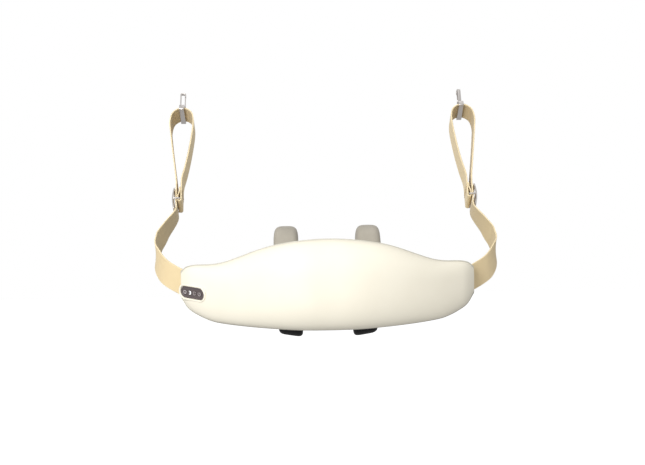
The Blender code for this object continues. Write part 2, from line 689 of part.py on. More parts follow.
def make_strap(side, covers, material):
    """Webbing from the body end, up through the slider, round the hand loop and back round the slider bar."""
    name = "right" if side > 0 else "left"
    frame = lean_frame(side)
    lower = [Vector((side * x, y, z)) for x, y, z in BODY_ROUTE]
    loop = [frame @ Vector((x, 0, z)) for x, z in loop_route()]
    route = smooth_route(lower + loop, ROUTE_STEPS)
    upright = Vector((0, 0, 1))
    leaning = frame.to_3x3() @ Vector((0, 1, 0))
    twist_end = len(lower) * ROUTE_STEPS
    twist_steps = TWIST_SPANS * ROUTE_STEPS
    widths = []
    for i in range(len(route)):
        share = min(max((i - twist_end + twist_steps) / twist_steps, 0), 1)
        widths.append(upright.lerp(leaning, share))
    ribbon(f"strap_{name}", route, widths, material["webbing"])
    x, y, z = BODY_ROUTE[1]
    slit = box(f"slit_{name}", (SLIT_LENGTH, WEB_THICKNESS + 4 * GAP, WEB_WIDTH + 4 * GAP), (side * x, y, z),
               material["webbing"], Matrix.Rotation(side * SLIT_TURN, 4, "Z"))
    for cover in covers:
        cut(cover, slit)
    return frame


def make_slider(side, frame, material):
    """The slider: a slotted plate outside the strands, two end posts and the bar the strap folds round."""
    name = "right" if side > 0 else "left"
    pair = WEB_THICKNESS + STRAND_GAP / 2
    inner = pair + SLIDER_CLEARANCE
    half = SLIDER_HEIGHT / 2
    heights = spread(-half, half, 9)
    bows = [inner + SLIDER_BOW * (1 - (z / half) ** 2) for z in heights]
    outline = list(zip(bows, heights))
    outline += [(x + SLIDER_THICKNESS, z) for x, z in reversed(outline)]
    rings = [[(x, end * SLIDER_WIDTH / 2, z) for x, z in outline] for end in (-1, 1)]
    plate = loft(f"slider_{name}", rings, material["metal"], smooth=False)
    plate.matrix_world = frame
    slot_size = (8 * SLIDER_THICKNESS, WEB_WIDTH + 2 * GAP, SLIDER_SLOT_HEIGHT)
    for level in (-1, 1):
        slot = box(f"slider_slot_{name}_{level}", slot_size, (0, 0, 0), material["metal"])
        slot.matrix_world = frame @ Matrix.Translation((inner + SLIDER_BOW, 0, level * SLIDER_SLOT_Z))
        cut(plate, slot)
    outer_x = inner + SLIDER_BOW + SLIDER_THICKNESS / 2
    inner_x = BAR_X - SLIDER_BAR_RADIUS
    post_size = (outer_x - inner_x, *SLIDER_POST)
    post_x = (outer_x + inner_x) / 2
    post_y = (SLIDER_WIDTH - SLIDER_POST[0]) / 2
    for end in (-1, 1):
        post = box(f"slider_post_{name}_{end}", post_size, (0, 0, 0), material["metal"])
        post.matrix_world = frame @ Matrix.Translation((post_x, end * post_y, 0))
        join(plate, post)
    bar_length = SLIDER_WIDTH - 2 * SLIDER_POST[0] - 2 * GAP
    bar = rod(f"slider_bar_{name}", SLIDER_BAR_RADIUS, bar_length, (0, 0, 0), (0, 1, 0), material["metal"])
    bar.matrix_world = frame @ Matrix.Translation((BAR_X, 0, 0)) @ Matrix.Rotation(math.pi / 2, 4, "X")


def band(name, width, height, wall, depth, corner, material):
    """A closed loop of flat band: width along its own Y, height along Z, as deep as depth along X."""
    loop = extrude_x(name, rounded_outline(width, height, corner), depth, material)
    opening = rounded_outline(width - 2 * wall, height - 2 * wall, corner - wall / 2)
    inside = extrude_x(f"{name}_inside", opening, 2 * depth, material)
    return loop, inside


def make_ring_and_hook(side, frame, material):
    """A flat band round the top of the hand loop, a narrow swivel hook on it and the hook's gate."""
    name = "right" if side > 0 else "left"
    metal = material["metal"]
    arch = frame @ Matrix.Translation((LOOP_SHIFT - side * RING_SLIP, 0, LOOP_HEIGHT))
    ring_height = WEB_THICKNESS + 2 * RING_CLEARANCE + 2 * RING_THICKNESS
    ring_width = RING_INSIDE_WIDTH + 2 * RING_THICKNESS
    ring, inside = band(f"strap_ring_{name}", ring_width, ring_height, RING_THICKNESS, RING_BAND, RING_CORNER,
                        metal)
    ring.matrix_world = arch
    inside.matrix_world = arch
    cut(ring, inside)
    boss = rod(f"ring_boss_{name}", BOSS_RADIUS, BOSS_HEIGHT + GAP, (0, 0, 0), (0, 0, 1), metal)
    boss.matrix_world = arch @ Matrix.Translation((0, 0, (ring_height + BOSS_HEIGHT - GAP) / 2))
    join(ring, boss)
    swivel = Matrix.Rotation(math.pi / 2 + HOOK_TURN[side], 4, "Z")
    foot = arch @ Matrix.Translation((0, 0, ring_height / 2 + BOSS_HEIGHT + GAP)) @ swivel
    hook = rod(f"snap_hook_{name}", COLLAR_RADIUS, COLLAR_HEIGHT + HOOK_WALL / 2, (0, 0, 0), (0, 0, 1), metal)
    hook.matrix_world = foot @ Matrix.Translation((0, 0, COLLAR_HEIGHT / 2 + HOOK_WALL / 4))
    middle = foot @ Matrix.Translation((0, 0, COLLAR_HEIGHT + HOOK_HEIGHT / 2))
    link, inside = band(f"hook_link_{name}", HOOK_WIDTH, HOOK_HEIGHT, HOOK_WALL, HOOK_DEPTH, HOOK_CORNER,
                        metal)
    for piece in (link, inside):
        piece.matrix_world = middle
    join(hook, link)
    window_size = (2 * HOOK_DEPTH, 2 * HOOK_WALL, GATE_SIZE[2] + 2 * GAP)
    window = box(f"gate_window_{name}", window_size, (0, 0, 0), metal)
    window.matrix_world = middle @ Matrix.Translation((0, HOOK_WIDTH / 2, 0))
    cut(hook, inside, window)
    half = GATE_SIZE[1] / 2
    low, high = -GATE_HINGE, GATE_SIZE[2] - GATE_HINGE
    gate_outline = [(-half, low), (half, low), (half, high), (-half, high)]
    gate = extrude_x(f"hook_gate_{name}", gate_outline, GATE_SIZE[0], metal)
    hinge_z = GATE_HINGE - GATE_SIZE[2] / 2
    gate.matrix_world = middle @ Matrix.Translation((0, (HOOK_WIDTH - HOOK_WALL) / 2, hinge_z))


def make_anchor(side, material):
    """A plastic bar that clamps the sewn end of the strap between the shells."""
    name = "right" if side > 0 else "left"
    x, y, z = ANCHOR_CENTRE
    box(f"strap_anchor_{name}", ANCHOR_SIZE, (side * x, y, z), material["arm"],
        Matrix.Rotation(side * SLIT_TURN, 4, "Z"))


def make_all():
    material = {
        "leather": make_material("cream_leather", (0.93, 0.88, 0.78), 0.5),
        "fabric": make_material("cream_fabric", (0.86, 0.82, 0.74), 0.85),
        "piping": make_material("grey_piping", (0.48, 0.46, 0.38), 0.6),
        "shell": make_material("grey_shell", (0.55, 0.54, 0.52), 0.5),
        "film": make_material("heating_film", (0.62, 0.36, 0.12), 0.4),
        "steel": make_material("steel", (0.60, 0.60, 0.62), 0.3, 1.0),
        "brass": make_material("brass", (0.75, 0.56, 0.25), 0.3, 1.0),
        "gear": make_material("white_nylon", (0.82, 0.81, 0.78), 0.45),
        "arm": make_material("black_nylon", (0.05, 0.05, 0.055), 0.5),
        "cell": make_material("battery_wrap", (0.10, 0.30, 0.50), 0.4),
        "board": make_material("green_board", (0.04, 0.24, 0.10), 0.5),
        "panel": make_material("plum_panel", (0.15, 0.12, 0.12), 0.35),
        "button": make_material("plum_button", (0.18, 0.145, 0.145), 0.4),
        "upper_silicone": make_material("warm_grey_silicone", (0.47, 0.43, 0.36), 0.55),
        "lower_silicone": make_material("charcoal_silicone", (0.012, 0.012, 0.013), 0.5),
        "webbing": make_material("tan_webbing", (0.72, 0.58, 0.36), 0.8),
        "metal": make_material("nickel", (0.72, 0.68, 0.66), 0.25, 1.0),
    }
    front_pad, front_shell, rear_pad, rear_shell = make_covers(material)
    cut_finger_slots(rear_pad, rear_shell, material["fabric"])
    for side in (-1, 1):
        for level in (-1, 1):
            make_finger(side, level, material)
    make_drive(material)
    make_chassis(material)
    make_electronics(material)
    make_panel((front_pad, front_shell), material)
    make_socket((rear_pad, rear_shell), material)
    for side in (-1, 1):
        frame = make_strap(side, (rear_pad, rear_shell), material)
        make_slider(side, frame, material)
        make_ring_and_hook(side, frame, material)
        make_anchor(side, material)


clear_scene()
parts = new_collection("neck_massager")
cutters = new_collection("cutters")
make_all()
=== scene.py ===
"""Looks of the strapped neck massager: covers, fingers, webbing and metalwork. Metres, +Z up."""

import json
import math

import bmesh
import bpy
from mathutils import Matrix, Vector


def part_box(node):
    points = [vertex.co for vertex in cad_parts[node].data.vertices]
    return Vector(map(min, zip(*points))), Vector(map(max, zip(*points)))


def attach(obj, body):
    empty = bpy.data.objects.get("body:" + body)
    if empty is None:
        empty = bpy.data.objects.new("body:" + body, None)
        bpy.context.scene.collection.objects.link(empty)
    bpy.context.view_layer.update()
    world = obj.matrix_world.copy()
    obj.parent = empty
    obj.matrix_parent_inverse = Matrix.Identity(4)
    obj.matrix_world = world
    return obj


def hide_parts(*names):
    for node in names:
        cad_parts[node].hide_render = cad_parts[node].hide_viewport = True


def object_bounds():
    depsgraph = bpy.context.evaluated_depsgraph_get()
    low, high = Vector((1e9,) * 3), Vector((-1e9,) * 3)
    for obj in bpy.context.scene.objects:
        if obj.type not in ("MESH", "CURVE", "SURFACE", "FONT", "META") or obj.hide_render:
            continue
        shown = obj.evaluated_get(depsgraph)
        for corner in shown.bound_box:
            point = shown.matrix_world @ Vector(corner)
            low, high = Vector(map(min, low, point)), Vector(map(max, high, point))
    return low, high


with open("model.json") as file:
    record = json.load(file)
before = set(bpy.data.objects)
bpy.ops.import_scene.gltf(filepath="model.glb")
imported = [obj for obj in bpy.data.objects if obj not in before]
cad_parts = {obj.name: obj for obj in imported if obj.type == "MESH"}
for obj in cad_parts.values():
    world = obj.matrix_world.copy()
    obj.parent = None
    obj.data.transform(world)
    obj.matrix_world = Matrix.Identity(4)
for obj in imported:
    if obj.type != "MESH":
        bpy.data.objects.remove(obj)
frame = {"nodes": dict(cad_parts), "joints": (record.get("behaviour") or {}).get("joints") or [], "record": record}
cad_low, cad_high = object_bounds()
ROOT = "padded_body"
SIDES = ((-1, "left"), (1, "right"))
LEVELS = ((1, "upper"), (-1, "lower"))

# ---------------------------------------------------------------- sizes, from the frame where it holds them
cover_low, cover_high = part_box("front_cover_pad")
joints = {joint["name"]: joint for joint in frame["joints"]}
GAP = 0.0003  # between neighbouring pieces

# Body
HALF_LENGTH = cover_high[0]
FLAT_SHARE = 0.97
HALF_DEPTH = -cover_low[1] / (1 + FLAT_SHARE)
END_HALF_DEPTH = 0.0125
BACK_SWEEP = 0.055
SWEEP_POWER = 1.8
SECTION_POWER = 2.4
FLAT_HALF_LENGTH = 0.016
DEPTH_POWER = 1.6
END_ROUND_FROM = 0.9  # where the ends start to round off, as a share of the way to the tip
END_ROUNDING = 45
LEAST_SHARE = 0.3  # the least that is left of a height or depth, at the tips and under a deep offset
TOP_EDGE = ((0, 0.0503), (0.034, 0.0483), (0.061, 0.0439), (0.080, 0.0386), (0.100, 0.0313),
            (0.120, 0.0246), (0.134, 0.0222), (0.155, 0.0211), (0.164, 0.0188), (0.170, 0.0140))
BOTTOM_EDGE = ((0, 0.0519), (0.034, 0.0514), (0.061, 0.0499), (0.093, 0.0476), (0.120, 0.0449),
               (0.134, 0.0424), (0.150, 0.0361), (0.162, 0.0285), (0.170, 0.0170))
COVER_THICKNESS = 0.0050
SEAM_HALF = 0.0013
SEAM_ROLL = 0.0014  # how deep a cover rolls in at the seam
SEAM_REACH = 0.0018
PIPING_RADIUS = 0.0010
PIPING_SINK = 0.0004
STATION_BUNCHING = 0.65  # how much closer a cover's sections stand towards the ends of the body
STEP_BUNCHING = 0.45  # how much closer the points of a section stand towards the seam
PANEL_SEAM_X = 0.0760  # the rear cover's two upright seams, where its side panels start
SEAM_DENT = 0.0010
SEAM_DENT_REACH = 0.0014
WELT_RADIUS = 0.0011
WELT_CORNER = 0.005

# Fingers: (y, z) points of an upper finger's route from its rod, and the half thickness at each
FINGER_WIDTH = 0.0282
FINGER_NECK_WIDTH = 0.0230
FINGER_ROUTE = ((0, 0), (0.016, 0.008), (0.032, 0.022), (0.049, 0.0356), (0.067, 0.0370), (0.080, 0.0290))
FINGER_HALF = (0.0070, 0.0080, 0.0100, 0.0125, 0.0120, 0.0100)
FINGER_TAPER = {1: 0.09, -1: 0}  # how much narrower an upper and a lower finger are on their outer faces
FINGER_SQUARENESS = {1: 0.55, -1: 0.40}
LOWER_SLANT = 0.16
TIP_REACH = 0.92  # length of a finger's rounded tip, in half thicknesses
SLOT_SIZE = (0.0284, 0.050, 0.0365)
SLOT_CORNER = 0.004
SLOT_Z = 0.0222

# Control panel
PANEL_LENGTH = 0.0362
PANEL_HEIGHT = 0.0132
PANEL_DEPTH = 0.0050
PANEL_CENTRE = (-0.1558, 0.0018, -0.0100)
PANEL_TURN = math.radians(-40)
PANEL_PITCH = math.radians(8)
PANEL_ROLL = math.radians(5.5)
LIP_RADIUS = 0.0013
BUTTON_COUNT = 4
BUTTON_PITCH = 0.0075
BUTTON_RADIUS = 0.0026
BUTTON_HEIGHT = 0.0054
BUTTON_PROUD = 0.0003
BUTTON_EDGE = 0.0005
ICON_RADIUS = 0.0022
ICON_LINE = 0.00065
ICON_DEPTH = 0.00008

# Straps and charging socket
WEB_WIDTH = 0.030
WEB_THICKNESS = 0.0016
STRAND_GAP = 0.0006
STRAIGHT_BELOW = 0.0150
STRAIGHT_ABOVE = 0.0195
LOOP_HEIGHT = 0.1350
LOOP_HALF = 0.0146
LOOP_SHIFT = -0.0030  # how far inward the top of a hand loop stands from its slider
BODY_ROUTE = ((0.1510, 0.0205, -0.0030), (0.1600, 0.0288, -0.0025), (0.1720, 0.0400, 0.0012),
              (0.1930, 0.0590, 0.0128), (0.2035, 0.0780, 0.0290), (0.2020, 0.0930, 0.0450),
              (0.1940, 0.1030, 0.0600))
ROUTE_STEPS = 14
WEB_SMOOTH_ANGLE = math.radians(50)
STITCH_START = 0.012  # where the strap's first row of stitches stands, from its inner end
STITCH_START_GAP = 0.010
STITCH_FROM_END = 0.0020
STITCH_ROW_GAP = 0.0035
STITCH_PITCH = 0.0031
STITCHES_EACH_WAY = 4
STITCH_LENGTH = 0.0022
STITCH_RADIUS = 0.00032
TWIST_SPANS = 3
SLIT_TURN = math.radians(43)
SLIT_LENGTH = 0.030
SOCKET_CENTRE = (0.1330, 0.0180, 0.0)
SOCKET_POCKET = (0.0120, 0.030, 0.0062)
SOCKET_TURN = math.radians(20)

# Slider
SLIDER_THICKNESS = 0.0016
SLIDER_WIDTH = 0.0355
SLIDER_HEIGHT = 0.0285
SLIDER_BOW = 0.0018
SLIDER_CLEARANCE = 0.0004
SLIDER_SLOT_HEIGHT = 0.0070
SLIDER_SLOT_Z = 0.0065
SLIDER_POST = (0.0022, 0.0018)
SLIDER_BAR_RADIUS = 0.0008

# The strap's sewn end, folded round the slider bar
WRAP_RADIUS = SLIDER_BAR_RADIUS + GAP + WEB_THICKNESS / 2
BAR_X = -(WEB_THICKNESS + STRAND_GAP) / 2 - WRAP_RADIUS
WRAP_ANGLES = [math.radians(a) for a in (180, 225, 270, 315, 360)]
TAIL_HEIGHT = 0.0175

# Ring, hook and gate
RING_CLEARANCE = 0.0016
RING_SLIP = 0.0007  # how far both rings rest to the left of the top of their arch
RING_INSIDE_WIDTH = 0.0318
RING_BAND = 0.0062
RING_THICKNESS = 0.0014
RING_CORNER = 0.0018
RING_HEIGHT = WEB_THICKNESS + 2 * RING_CLEARANCE + 2 * RING_THICKNESS
BOSS_RADIUS = 0.0024
BOSS_HEIGHT = 0.0012
COLLAR_RADIUS = 0.0022
COLLAR_HEIGHT = 0.0036
HOOK_WIDTH = 0.0074
HOOK_HEIGHT = 0.0232
HOOK_DEPTH = 0.0040
HOOK_WALL = 0.0016
HOOK_CORNER = 0.0024
HOOK_TURN = {-1: math.radians(4), 1: math.radians(80)}
GATE_SIZE = (0.0030, 0.0013, 0.0110)
GATE_HINGE = 0.0007  # from the gate's lower end to its pin
GATE_PIN_RADIUS = 0.0005
CHAMFER = 0.0003  # on turned metal
METAL_SOFT = 0.0004  # radius of the metal pieces' rounded edges


# ---------------------------------------------------------------- camera, lights and floor
CAMERA_DISTANCE = 1.5
CAMERA_FOCAL = 74.7
CAMERA_HEIGHT = 0.097
CAMERA_SIDE = -0.035
CAMERA_YAW = math.radians(-1.10)
CAMERA_PITCH = math.radians(-1.5)
CAMERA_ROLL = math.radians(-0.9)
FLOOR_Z = -0.60
KEY_PLACE = (-0.90, -2.00, 0.80)
KEY_TARGET = (0, 0, 0.02)
KEY_SIZE = 1.1
KEY_WATTS = 42
TOP_PLACE = (0.2, 0.1, 1.8)
TOP_TARGET = (0, 0.05, 0.05)
TOP_SIZE = 1.2
TOP_WATTS = 2.5
SKY_ABOVE = 0.60
SKY_BELOW = 0.49


def make_camera():
    data = bpy.data.cameras.new("camera")
    data.lens = CAMERA_FOCAL
    data.sensor_width = 36.0
    data.clip_start = 0.05
    data.clip_end = 30.0
    camera = bpy.data.objects.new("camera", data)
    bpy.context.scene.collection.objects.link(camera)
    middle_y = cad_low[1] + HALF_DEPTH
    camera.matrix_world = (Matrix.Translation((CAMERA_SIDE, middle_y - CAMERA_DISTANCE, CAMERA_HEIGHT))
                           @ Matrix.Rotation(CAMERA_YAW, 4, "Z")
                           @ Matrix.Rotation(math.pi / 2 + CAMERA_PITCH, 4, "X")
                           @ Matrix.Rotation(CAMERA_ROLL, 4, "Z"))
    bpy.context.scene.camera = camera


def area_light(name, place, target, size, watts):
    data = bpy.data.lights.new(name, "AREA")
    data.shape = "DISK"
    data.size = size
    data.energy = watts
    lamp = bpy.data.objects.new(name, data)
    bpy.context.scene.collection.objects.link(lamp)
    lamp.location = place
    lamp.rotation_euler = (Vector(target) - Vector(place)).to_track_quat("-Z", "Y").to_euler()


def make_stage():
    """White surroundings, a soft key from the front left and a plain pale floor far below."""
    scene = bpy.context.scene
    scene.view_settings.view_transform = "Standard"
    world = bpy.data.worlds.new("studio")
    scene.world = world
    world.use_nodes = True
    nodes, links = world.node_tree.nodes, world.node_tree.links
    nodes.clear()
    light = nodes.new("ShaderNodeBackground")
    light.inputs["Color"].default_value = (1.0, 1.0, 1.0, 1.0)
    place = nodes.new("ShaderNodeTexCoord")
    split = nodes.new("ShaderNodeSeparateXYZ")
    height = nodes.new("ShaderNodeMapRange")
    limits = {"From Min": -0.5, "From Max": 0.5, "To Min": SKY_BELOW, "To Max": SKY_ABOVE}
    for key, number in limits.items():
        height.inputs[key].default_value = number
    links.new(place.outputs["Generated"], split.inputs[0])
    links.new(split.outputs["Z"], height.inputs["Value"])
    links.new(height.outputs["Result"], light.inputs["Strength"])
    seen = nodes.new("ShaderNodeBackground")
    seen.inputs["Color"].default_value = (1.0, 1.0, 1.0, 1.0)
    path = nodes.new("ShaderNodeLightPath")
    mix = nodes.new("ShaderNodeMixShader")
    out = nodes.new("ShaderNodeOutputWorld")
    links.new(path.outputs["Is Camera Ray"], mix.inputs["Fac"])
    links.new(light.outputs[0], mix.inputs[1])
    links.new(seen.outputs[0], mix.inputs[2])
    links.new(mix.outputs[0], out.inputs["Surface"])
    area_light("key", KEY_PLACE, KEY_TARGET, KEY_SIZE, KEY_WATTS)
    area_light("top", TOP_PLACE, TOP_TARGET, TOP_SIZE, TOP_WATTS)
    make_floor()


def make_floor():
    bpy.ops.mesh.primitive_plane_add(size=16, location=(0, 0, FLOOR_Z))
    floor = bpy.context.object
    floor.name = "floor"
    floor.visible_diffuse = False
    floor.visible_glossy = False
    material = bpy.data.materials.new("pale_floor")
    material.use_nodes = True
    shader = material.node_tree.nodes["Principled BSDF"]
    shader.inputs["Base Color"].default_value = (0.9, 0.9, 0.9, 1)
    shader.inputs["Roughness"].default_value = 0.9
    shader.inputs["Emission Color"].default_value = (1, 1, 1, 1)
    shader.inputs["Emission Strength"].default_value = 0.6
    floor.data.materials.append(material)


# ---------------------------------------------------------------- materials
class Nodes:
    """A material's node tree with short calls for the nodes that the finishes share."""

    def __init__(self, name, roughness=0.5, metallic=0.0):
        self.material = bpy.data.materials.new(name)
        self.material.use_nodes = True
        self.tree = self.material.node_tree
        self.shader = self.tree.nodes["Principled BSDF"]
        self.shader.inputs["Roughness"].default_value = roughness
        self.shader.inputs["Metallic"].default_value = metallic
        self.place = self.tree.nodes.new("ShaderNodeTexCoord").outputs["Object"]

    def add(self, kind, **inputs):
        node = self.tree.nodes.new(kind)
        for key, value in inputs.items():
            self.put(node.inputs[key.replace("_", " ")], value)
        return node

    def put(self, socket, value):
        if isinstance(value, bpy.types.NodeSocket):
            self.tree.links.new(value, socket)
        else:
            socket.default_value = value

    def noise(self, scale, detail=3.0, stretch=None):
        place = self.place
        if stretch:
            mapping = self.add("ShaderNodeMapping", Vector=place)
            mapping.inputs["Scale"].default_value = stretch
            place = mapping.outputs["Vector"]
        return self.add("ShaderNodeTexNoise", Vector=place, Scale=scale, Detail=detail).outputs["Fac"]

    def cells(self, scale):
        return self.add("ShaderNodeTexVoronoi", Vector=self.place, Scale=scale).outputs["Distance"]

    def maths(self, operation, a, b=0.0):
        node = self.tree.nodes.new("ShaderNodeMath")
        node.operation = operation
        self.put(node.inputs[0], a)
        self.put(node.inputs[1], b)
        return node.outputs[0]

    def spread(self, value, low, high, from_low=0.0, from_high=1.0):
        node = self.add("ShaderNodeMapRange", Value=value)
        limits = {"From Min": from_low, "From Max": from_high, "To Min": low, "To Max": high}
        for key, number in limits.items():
            node.inputs[key].default_value = number
        return node.outputs["Result"]

    def blend(self, share, a, b):
        node = self.tree.nodes.new("ShaderNodeMix")
        node.data_type = "RGBA"
        self.put(node.inputs[0], share)
        self.put(node.inputs[6], (*a, 1.0) if isinstance(a, tuple) else a)
        self.put(node.inputs[7], (*b, 1.0) if isinstance(b, tuple) else b)
        return node.outputs[2]

    def shade(self, colour, share):
        """The colour at that share of its brightness."""
        node = self.add("ShaderNodeHueSaturation", Color=colour)
        node.inputs["Value"].default_value = share
        return node.outputs["Color"]

    def attribute(self, name):
        node = self.tree.nodes.new("ShaderNodeAttribute")
        node.attribute_name = name
        return node.outputs["Fac"]

    def colour(self, value):
        self.put(self.shader.inputs["Base Color"], (*value, 1.0) if isinstance(value, tuple) else value)

    def rough(self, value):
        self.put(self.shader.inputs["Roughness"], value)

    def bump(self, height, depth, strength=0.5):
        """height is in units of depth metres."""
        last = self.shader.inputs["Normal"].links
        node = self.add("ShaderNodeBump", Height=height)
        node.inputs["Distance"].default_value = depth
        node.inputs["Strength"].default_value = strength
        if last:
            self.tree.links.new(last[0].from_socket, node.inputs["Normal"])
        self.tree.links.new(node.outputs["Normal"], self.shader.inputs["Normal"])


def cream_leather():
    m = Nodes("cream_leather_grain", 0.5)
    grain = m.maths("MINIMUM", m.cells(1250.0), 0.55)
    tone = m.spread(m.noise(18.0, 4.0), 0.0, 1.0, 0.35, 0.65)
    m.colour(m.blend(tone, (0.915, 0.862, 0.722), (0.94, 0.890, 0.752)))
    m.rough(m.spread(m.noise(260.0), 0.44, 0.60))
    m.bump(grain, 0.00012, 0.35)
    m.bump(m.noise(45.0, 2.0), 0.0004, 0.15)
    m.shader.inputs["Specular IOR Level"].default_value = 0.35
    return m.material


def mesh_fabric():
    m = Nodes("cream_air_mesh", 0.85)
    # The mesh's holes; the same mask also carries the painted shade drawn in them.
    hole_and_painted_shade = m.spread(m.cells(620.0), 1.0, 0.0, 0.10, 0.42)
    tone = m.noise(30.0)
    ground = m.blend(tone, (0.80, 0.76, 0.66), (0.86, 0.82, 0.72))
    # Painted shade: the mesh's holes are drawn dark in the colour, where shade falls into them.
    m.colour(m.blend(hole_and_painted_shade, ground, (0.48, 0.44, 0.37)))
    m.rough(m.spread(tone, 0.78, 0.92))
    m.bump(m.maths("SUBTRACT", 1.0, hole_and_painted_shade), 0.0005, 0.7)
    m.shader.inputs["Sheen Weight"].default_value = 0.2
    return m.material


def piping_leather():
    m = Nodes("grey_green_piping", 0.55)
    tone = m.noise(90.0)
    m.colour(m.blend(tone, (0.56, 0.54, 0.46), (0.64, 0.615, 0.53)))
    m.rough(m.spread(m.noise(400.0), 0.48, 0.66))
    m.bump(m.cells(1600.0), 0.0001, 0.4)
    return m.material


def silicone(name, dark, light, rough, shine=0.5, sheen=0.08):
    m = Nodes(name, rough)
    tone = m.spread(m.noise(35.0, 4.0), 0.0, 1.0, 0.35, 0.65)
    speck = m.spread(m.noise(900.0, 1.0), 0.0, 1.0, 0.66, 0.74)
    base = m.blend(tone, dark, light)
    m.colour(m.blend(m.maths("MULTIPLY", speck, 0.25), base, tuple(min(1.0, c * 1.6 + 0.02) for c in light)))
    m.rough(m.spread(m.noise(300.0), rough - 0.06, rough + 0.10))
    m.bump(m.noise(1500.0, 2.0), 0.00008, 0.5)
    m.shader.inputs["Specular IOR Level"].default_value = shine
    m.shader.inputs["Sheen Weight"].default_value = sheen
    return m.material


def webbing():
    """Twill webbing from the strap's own along and across distances, in metres."""
    m = Nodes("tan_webbing_weave", 0.8)
    along, across = m.attribute("along"), m.attribute("across")
    rib_pitch = 0.00165
    pick_pitch = 0.00125
    chevron_width = 0.0050
    slant = m.maths("MULTIPLY", m.maths("PINGPONG", across, chevron_width), 0.8)
    rib = m.maths("SINE", m.maths("MULTIPLY", across, 2 * math.pi / rib_pitch))
    pick = m.maths("SINE", m.maths("MULTIPLY", m.maths("ADD", along, slant), 2 * math.pi / pick_pitch))
    crossing = m.maths("MULTIPLY", m.maths("ADD", rib, 1.2), m.maths("ADD", pick, 1.2))
    weave = m.spread(crossing, 0.0, 1.0, 0.0, 4.4)
    tone = m.noise(160.0, 3.0)
    warm = m.blend(tone, (0.88, 0.705, 0.415), (0.95, 0.780, 0.480))
    # Painted shade: the hollows between the threads are drawn darker.
    woven_with_painted_shade = m.blend(m.spread(weave, 0.45, 0.0), warm, (0.62, 0.47, 0.255))
    # Painted highlight: a lighter line along both edges of the webbing.
    edge = m.spread(m.maths("ABSOLUTE", across), 0.0, 1.0, 0.0134, 0.0148)
    outer_side_with_painted_highlight = m.blend(m.maths("MULTIPLY", edge, 0.5), woven_with_painted_shade, (0.97, 0.83, 0.56))
    # Painted shade: where the inner attribute is set, the webbing's inner face is drawn at 80% of the outer face's
    # brightness.
    m.colour(m.blend(m.attribute("inner"), outer_side_with_painted_highlight, m.shade(outer_side_with_painted_highlight, 0.80)))
    m.rough(m.spread(tone, 0.72, 0.92))
    m.bump(weave, 0.00028, 0.35)
    m.shader.inputs["Sheen Weight"].default_value = 0.25
    m.shader.inputs["Sheen Roughness"].default_value = 0.4
    return m.material


def thread(name, light):
    m = Nodes(name, 0.7)
    m.colour(m.blend(m.noise(700.0), tuple(c * 0.85 for c in light), light))
    m.bump(m.noise(2600.0, 1.0), 0.0001, 0.5)
    return m.material


def nickel(name, tone, low, high):
    m = Nodes(name, 0.25, 1.0)
    brushed = m.noise(220.0, 3.0, stretch=(1.0, 1.0, 14.0))
    m.colour(m.blend(brushed, tuple(c * 0.90 for c in tone), tone))
    m.rough(m.spread(brushed, low, high))
    m.bump(brushed, 0.00002, 0.3)
    return m.material


def moulded(name, dark, light, low, high, grain=900.0):
    """Moulded or painted finish: slow tone drift, fine grain, uneven gloss."""
    m = Nodes(name, low)
    m.colour(m.blend(m.noise(60.0, 4.0), dark, light))
    m.rough(m.spread(m.noise(180.0), low, high))
    m.bump(m.noise(grain, 2.0), 0.00005, 0.5)
    return m.material


def glowing(name, colour, strength):
    m = Nodes(name, 0.4)
    m.colour(m.blend(m.noise(500.0), tuple(c * 0.9 for c in colour), colour))
    m.shader.inputs["Emission Color"].default_value = (*colour, 1.0)
    m.shader.inputs["Emission Strength"].default_value = strength
    return m.material


def make_materials():
    return {
        "cream_leather": cream_leather(),
        "cream_fabric": mesh_fabric(),
        "grey_piping": piping_leather(),
        "warm_grey_silicone": silicone("warm_grey_silicone", (0.37, 0.340, 0.280), (0.42, 0.385, 0.320),
                                       0.52),
        "charcoal_silicone": silicone("charcoal_silicone", (0.0035, 0.0035, 0.004), (0.006, 0.006, 0.0065),
                                      0.55, 0.15, 0.0),
        "tan_webbing": webbing(),
        "tan_thread": thread("tan_thread", (0.58, 0.44, 0.25)),
        "nickel": nickel("brushed_nickel", (0.76, 0.72, 0.69), 0.26, 0.42),
        "steel": nickel("machined_steel", (0.55, 0.55, 0.57), 0.24, 0.42),
        "brass": nickel("machined_brass", (0.74, 0.56, 0.27), 0.25, 0.42),
        "plum_panel": moulded("plum_panel", (0.105, 0.084, 0.083), (0.122, 0.098, 0.097), 0.34, 0.46),
        "plum_button": moulded("plum_button", (0.115, 0.093, 0.092), (0.132, 0.107, 0.106), 0.38, 0.50),
        "icon_bright": glowing("icon_bright", (0.95, 0.95, 0.95), 0.55),
        "icon_soft": glowing("icon_soft", (0.62, 0.58, 0.58), 0.10),
        "icon_dim": glowing("icon_dim", (0.42, 0.38, 0.38), 0.03),
        "black_nylon": moulded("black_nylon", (0.030, 0.030, 0.033), (0.045, 0.045, 0.048), 0.42, 0.60,
                               1200.0),
        "white_nylon": moulded("white_nylon", (0.72, 0.71, 0.67), (0.80, 0.79, 0.75), 0.38, 0.52),
        "grey_shell": moulded("grey_shell", (0.46, 0.45, 0.43), (0.53, 0.52, 0.50), 0.42, 0.56),
        "heating_film": moulded("amber_film", (0.55, 0.28, 0.07), (0.66, 0.37, 0.12), 0.25, 0.40),
        "battery_wrap": moulded("blue_wrap", (0.06, 0.22, 0.42), (0.09, 0.28, 0.50), 0.26, 0.38),
        "green_board": moulded("green_board", (0.02, 0.16, 0.06), (0.04, 0.24, 0.10), 0.34, 0.50),
    }


# ---------------------------------------------------------------- mesh helpers
SMOOTH_ANGLE = math.radians(40)


def spread_values(start, end, count):
    return [start + (end - start) * i / (count - 1) for i in range(count)]


